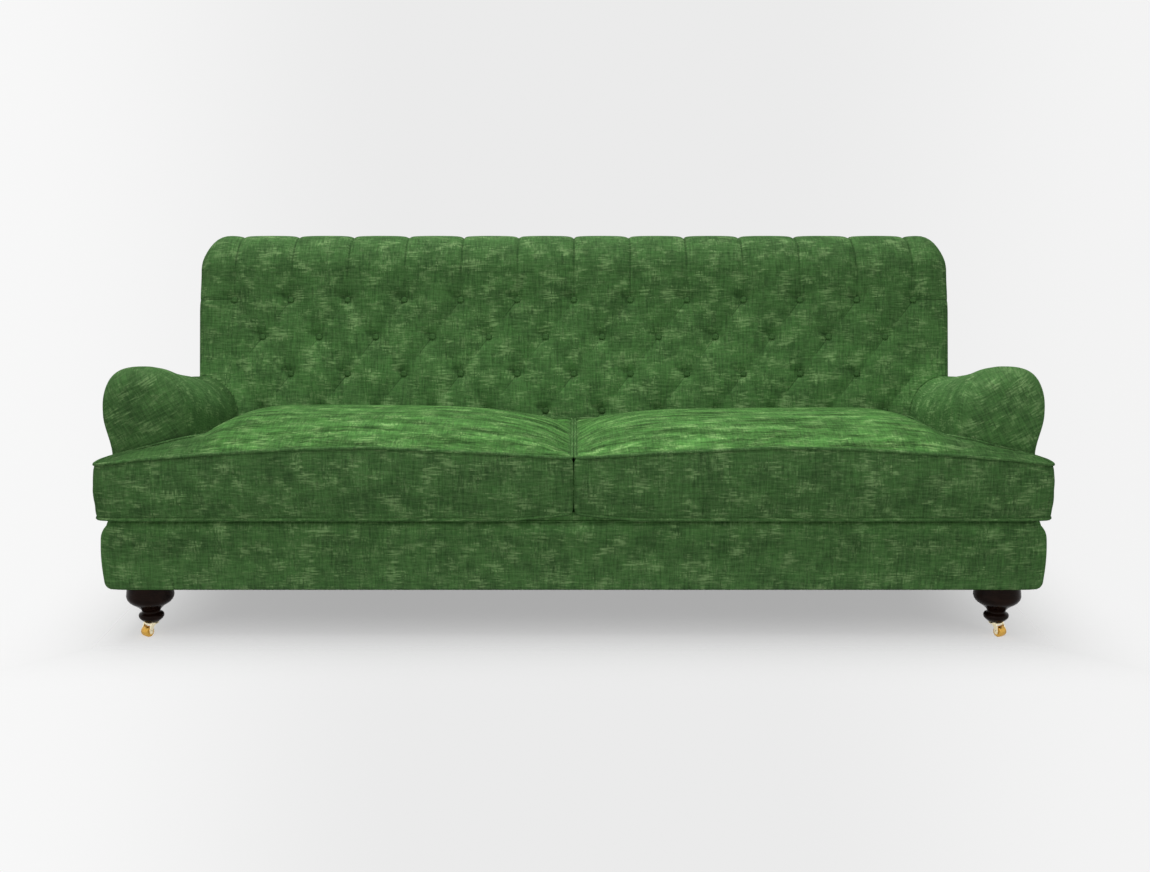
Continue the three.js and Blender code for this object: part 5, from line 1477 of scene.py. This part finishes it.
# %% the front legs
LEG_FOOT = [(0.0140, 0.0333), (0.0165, 0.0345), (0.0205, 0.0372), (0.0250, 0.0410), (0.0284, 0.0450)]
LEG_FOOT += [(0.0299, 0.0492), (0.0294, 0.0528), (0.0270, 0.0556), (0.0236, 0.0572)]
LEG_NECK = [(0.0219, 0.0588), (0.0217, 0.0612), (0.0230, 0.0646)]
LEG_CUP = [(0.0262, 0.0684), (0.0302, 0.0722), (0.0352, 0.0762), (0.0416, 0.0802), (0.0480, 0.0848)]
LEG_CUP += [(0.0526, 0.0900), (0.0551, 0.0952), (0.0559, 0.1008)]
LEG_BULB = [(0.0551, 0.1080), (0.0541, 0.1160), (0.0528, 0.1250), (0.0522, 0.1352)]
LEG = LEG_FOOT + LEG_NECK + LEG_CUP + LEG_BULB


def rounded(profile, steps=3):
    """A smoother profile: new points on a curve through the given ones."""
    profile = np.array(profile)
    fine = []
    for k in range(len(profile) - 1):
        p0, p1, p2, p3 = (profile[min(max(k + d, 0), len(profile) - 1)] for d in (-1, 0, 1, 2))
        for t in np.arange(steps) / steps:
            a = 2 * p1 + (p2 - p0) * t + (2 * p0 - 5 * p1 + 4 * p2 - p3) * t**2
            fine.append((a + (3 * p1 - p0 - 3 * p2 + p3) * t**3) / 2)
    return np.array(fine + [profile[-1]])


def box_middle(node):
    """The middle of a CAD node's box."""
    low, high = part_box(node)
    return np.array([(a + b) / 2 for a, b in zip(low, high)])


for side in SIDES:
    profile = [(0, LEG[0][1]), *rounded(LEG), (0, LEG[-1][1])]
    leg = spun(profile, box_middle(f"{side}_front_leg") * (1, 1, 0), f"{side}_turned_leg", ebonised)
    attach(leg, "sofa_frame")
    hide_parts(f"{side}_front_leg")
    tell(leg)

# %% [markdown]
# ## Hard pieces that keep their CAD shape
# The rear legs and the castors' horns only lack the small bevel that catches the light on
# every real edge. They could be modelled anew, but their CAD shape is right. So a copy of the
# CAD mesh is welded, bevelled along its sharp edges, and stands for the original.


# %% bevelled copies
def bevelled(node, name, material, width, body):
    """A copy of a CAD node with small bevels, which stands for it."""
    mesh = frame["nodes"][node].data.copy()
    bm = bmesh.new()
    bm.from_mesh(mesh)
    bmesh.ops.remove_doubles(bm, verts=bm.verts, dist=1e-5)
    bmesh.ops.dissolve_limit(bm, angle_limit=math.radians(1), verts=bm.verts, edges=bm.edges)
    sharp = [e for e in bm.edges if len(e.link_faces) == 2 and e.calc_face_angle(0) > math.radians(35)]
    shape = {"offset": width, "segments": 3, "profile": 0.6, "clamp_overlap": True}
    bmesh.ops.bevel(bm, geom=sharp, affect="EDGES", **shape)
    bm.to_mesh(mesh)
    bm.free()
    mesh.name = name
    mesh.shade_smooth()
    mesh.set_sharp_from_angle(angle=math.radians(28))
    mesh.materials.clear()
    mesh.materials.append(material)
    made = bpy.data.objects.new(name, mesh)
    bpy.context.scene.collection.objects.link(made)
    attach(made, body)
    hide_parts(node)
    tell(made)


WOOD_BEVEL, BRASS_BEVEL = 0.003, 0.0005
for side in SIDES:
    leg, leg_copy = f"{side}_rear_leg", f"{side}_square_leg"
    bevelled(leg, leg_copy, ebonised, WOOD_BEVEL, "sofa_frame")
    horn, horn_copy = f"{side}_castor_horn", f"{side}_castor_arm"
    bevelled(horn, horn_copy, pale_brass, BRASS_BEVEL, f"{side}_castor_fork")

# %% [markdown]
# ## Castors
# A brass castor has a plate under the leg, a horn that swivels on it, and a barrel wheel on
# an axle. Plain cylinders would do from far away. The round pieces are spun again, much finer
# than in the CAD, and the wheel gets the rounded shoulders and the fine grooves that a turned
# brass barrel has. Half of a profile is drawn, and the other half is its mirror image.


# %% castor wheels, axles and plates
CASTOR_YAW = math.radians(36)
BORE, BARREL_HALF = 0.0026, 0.0105
PIN_HEAD = [(0, -0.0160), (0.0022, -0.0158), (0.0034, -0.0153), (0.0036, -0.0148), (0.0024, -0.0148)]
PLATE_LOW, PLATE_HIGH, SPIGOT = 0.02984, 0.0328, 0.004
PLATE_RIM = [(0.0155, PLATE_LOW), (0.0164, 0.0304), (0.0165, 0.0318), (0.0158, PLATE_HIGH)]


def both_halves(half):
    """A profile and its mirror image, as one line."""
    return half + [(radius, -along_axle) for radius, along_axle in half[::-1]]


def barrel(r):
    """The profile of a wheel: a shoulder, a groove and the tread."""
    shoulder = [(BORE, -BARREL_HALF), (r - 0.0035, -BARREL_HALF)]
    shoulder += [(r - 0.0012, -0.0096), (r - 0.0003, -0.0082)]
    groove = [(r - 0.0002, -0.006), (r - 0.0006, -0.0057), (r - 0.0002, -0.0054)]
    return both_halves(shoulder + groove + [(r, -0.003)]) + [(BORE, -BARREL_HALF)]


def castor_cup(side):
    """The profile of a plate, with its pin up into the leg."""
    low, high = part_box(f"{side}_castor_plate")
    neck = 0.0032
    below = [(0, low.z), (neck, low.z), (neck, PLATE_LOW)]
    return below + PLATE_RIM + [(SPIGOT, PLATE_HIGH), (SPIGOT, high.z), (0, high.z)]


for side, sign in SIDES.items():
    yaw = sign * CASTOR_YAW
    axle, forward = (math.cos(yaw), math.sin(yaw), 0), (math.sin(yaw), -math.cos(yaw), 0)
    tilt = np.column_stack([forward, (0, 0, 1), axle])
    low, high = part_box(f"{side}_castor_wheel")
    centre = box_middle(f"{side}_castor_wheel")
    below_leg = box_middle(f"{side}_castor_plate") * (1, 1, 0)
    tread = barrel((high.z - low.z) / 2)
    wheel = spun(tread, centre, f"{side}_barrel_wheel", brass, sides=64, tilt=tilt)
    pin = spun(both_halves(PIN_HEAD), centre, f"{side}_axle_pin", pale_brass, sides=32, tilt=tilt)
    plate = spun(castor_cup(side), below_leg, f"{side}_castor_cup", pale_brass, sides=48)
    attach(wheel, f"{side}_castor_roller")
    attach(pin, f"{side}_castor_fork")
    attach(plate, "sofa_frame")
    for piece, node in ((wheel, "wheel"), (pin, "axle"), (plate, "plate")):
        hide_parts(f"{side}_castor_{node}")
        tell(piece)

# %% [markdown]
# ## Finishes of the hidden frame
# The timber, springs, straps and bolts are not seen from outside, so they could be left grey.
# But a part is also looked at from inside and in pieces, so they keep their CAD shapes and get
# their finish too.

# %% finishes by material slot
finishes = {"beech": beech, "zinc_steel": zinc, "spring_steel": spring_steel, "webbing": jute}
finishes |= {"velvet": velvet, "black_lining": lining, "ebonised_wood": ebonised}
finishes |= {"polished_brass": brass}
slot_of = {p["node"]: p["material_slot"] for p in frame["record"]["subparts"]}
for name, node in frame["nodes"].items():
    node.data.materials.clear()
    node.data.materials.append(finishes[slot_of[name]])
print(len(slot_of), "CAD nodes have their finish")

# %% [markdown]
# ## Camera, floor and light
# The camera stands where the photographer's did: 3.4 m in front of the seat, 1.17 m high,
# looking down by 11.3 degrees. Light could come from a photographed room, but this one is a
# studio, so a few soft lamps and a nearly even backdrop are closer. The backdrop that the
# camera sees is painted a little lighter to the left and the right, as painted light. Most of
# the light comes from a wide lamp above, so the tops of the cushions are the brightest part,
# and a low one before the sofa lifts the base, but doesn't show in a gloss. The floor is pale
# only where it is seen, so that it doesn't throw light back up at the fronts, and it fades
# into the backdrop.

# %% camera
CAMERA_AWAY, CAMERA_HIGH, CAMERA_BESIDE = 3.3767, 1.1746, 0.003
LOOKS_DOWN = math.radians(11.3)
scene = bpy.context.scene
lens = bpy.data.cameras.new("camera")
lens.sensor_width = 36
lens.lens = 47.11
camera = bpy.data.objects.new("camera", lens)
camera.location = (CAMERA_BESIDE, FRONT - CAMERA_AWAY, CAMERA_HIGH)
camera.rotation_euler = (math.pi / 2 - LOOKS_DOWN, 0, 0)
scene.collection.objects.link(camera)
scene.camera = camera
scene.view_settings.view_transform = "Standard"
print("the camera is at", [round(x, 3) for x in camera.location])


# %% floor and backdrop
FLOOR_HALF = 6


def make_floor():
    """A matt floor that is paler where it is seen, and clearer away from the sofa."""
    shader = new_shader("studio_floor")
    seen = shader.seen()
    place = shader.place()
    beside, before = shader.split(place)
    beside = beside.maths("ABSOLUTE", beside) - cad_high.x
    before = before.maths("ABSOLUTE", before) + FRONT
    outside = beside.maths("MAXIMUM", beside, before).rises(-0.26, 0.31)
    colour = shader.mix(seen, (0.50, 0.50, 0.50, 1), (0.90, 0.90, 0.90, 1))
    clear_share = seen * (outside * 0.54 + 0.46)
    diffuse = shader.node("BsdfDiffuse", {}, {"Color": colour})
    clear = shader.node("BsdfTransparent", {}, {})
    return shader.finish(shader.node("MixShader", {}, {0: clear_share, 1: diffuse, 2: clear}))


ends = (-FLOOR_HALF, FLOOR_HALF)
floor_points = np.array([[(x, y, 0) for y in ends] for x in ends])
floor = build("studio_floor", [skin(floor_points, floor_points[..., :2])], make_floor())
floor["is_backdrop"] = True

# %% the backdrop
world = bpy.data.worlds.new("studio")
scene.world = world
shader = Shader(world)
seen = shader.seen()
lit = shader.node("Background", {}, {"Color": (1, 1, 1, 1), "Strength": 0.38})
heading = shader.node("SeparateXYZ", {}, {0: shader.node("TexCoord", {}, {}, output=0)})
# Painted light: the backdrop that the camera sees is painted lighter towards the left and the right.
to_left = (heading * -1.0).rises(0.10, 0.36) * 0.105
to_right = heading.rises(0.12, 0.36) * 0.070
tone = to_left + to_right + 0.83
shown_colour = shader.node("CombineColor", {}, {0: tone, 1: tone, 2: tone})
shown = shader.node("Background", {}, {"Color": shown_colour, "Strength": 1.0})
shader.finish(shader.node("MixShader", {}, {0: seen, 1: lit, 2: shown}), "OutputWorld")


# %% lamps
def lamp(name, place, aim, size, power):
    """A soft square lamp that shines from its place at an aim."""
    data = bpy.data.lights.new(name, "AREA")
    data.shape, data.size, data.size_y, data.energy = "RECTANGLE", size[0], size[1], power
    made = bpy.data.objects.new(name, data)
    made.location = place
    made.rotation_euler = (Vector(aim) - Vector(place)).to_track_quat("-Z", "Y").to_euler()
    scene.collection.objects.link(made)
    return made


lamp("overhead", (-0.4, 0.0, 3.2), (0.0, 0.0, 0.4), (4.4, 2.8), 88)
lamp("window", (-1.4, -3.9, 1.6), (0.0, 0.0, 0.5), (2.0, 2.0), 6)
low_fill = lamp("low_fill", (0.4, -4.2, 0.30), (0.0, 0.0, 0.2), (4.0, 0.5), 20)
low_fill.visible_glossy = False
print([light.name for light in bpy.data.lights])

# %% [markdown]
# ## Sizes at the end
# The dressed sofa must keep the size of the CAD model, so both boxes are compared, and how far
# the dressed one reaches past the CAD one is printed.

# %% the sizes
low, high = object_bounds()
grown = [round(1000 * (a - b), 1) for a, b in zip((*cad_low, *high), (*low, *cad_high))]
print("grown by, in mm:", grown)
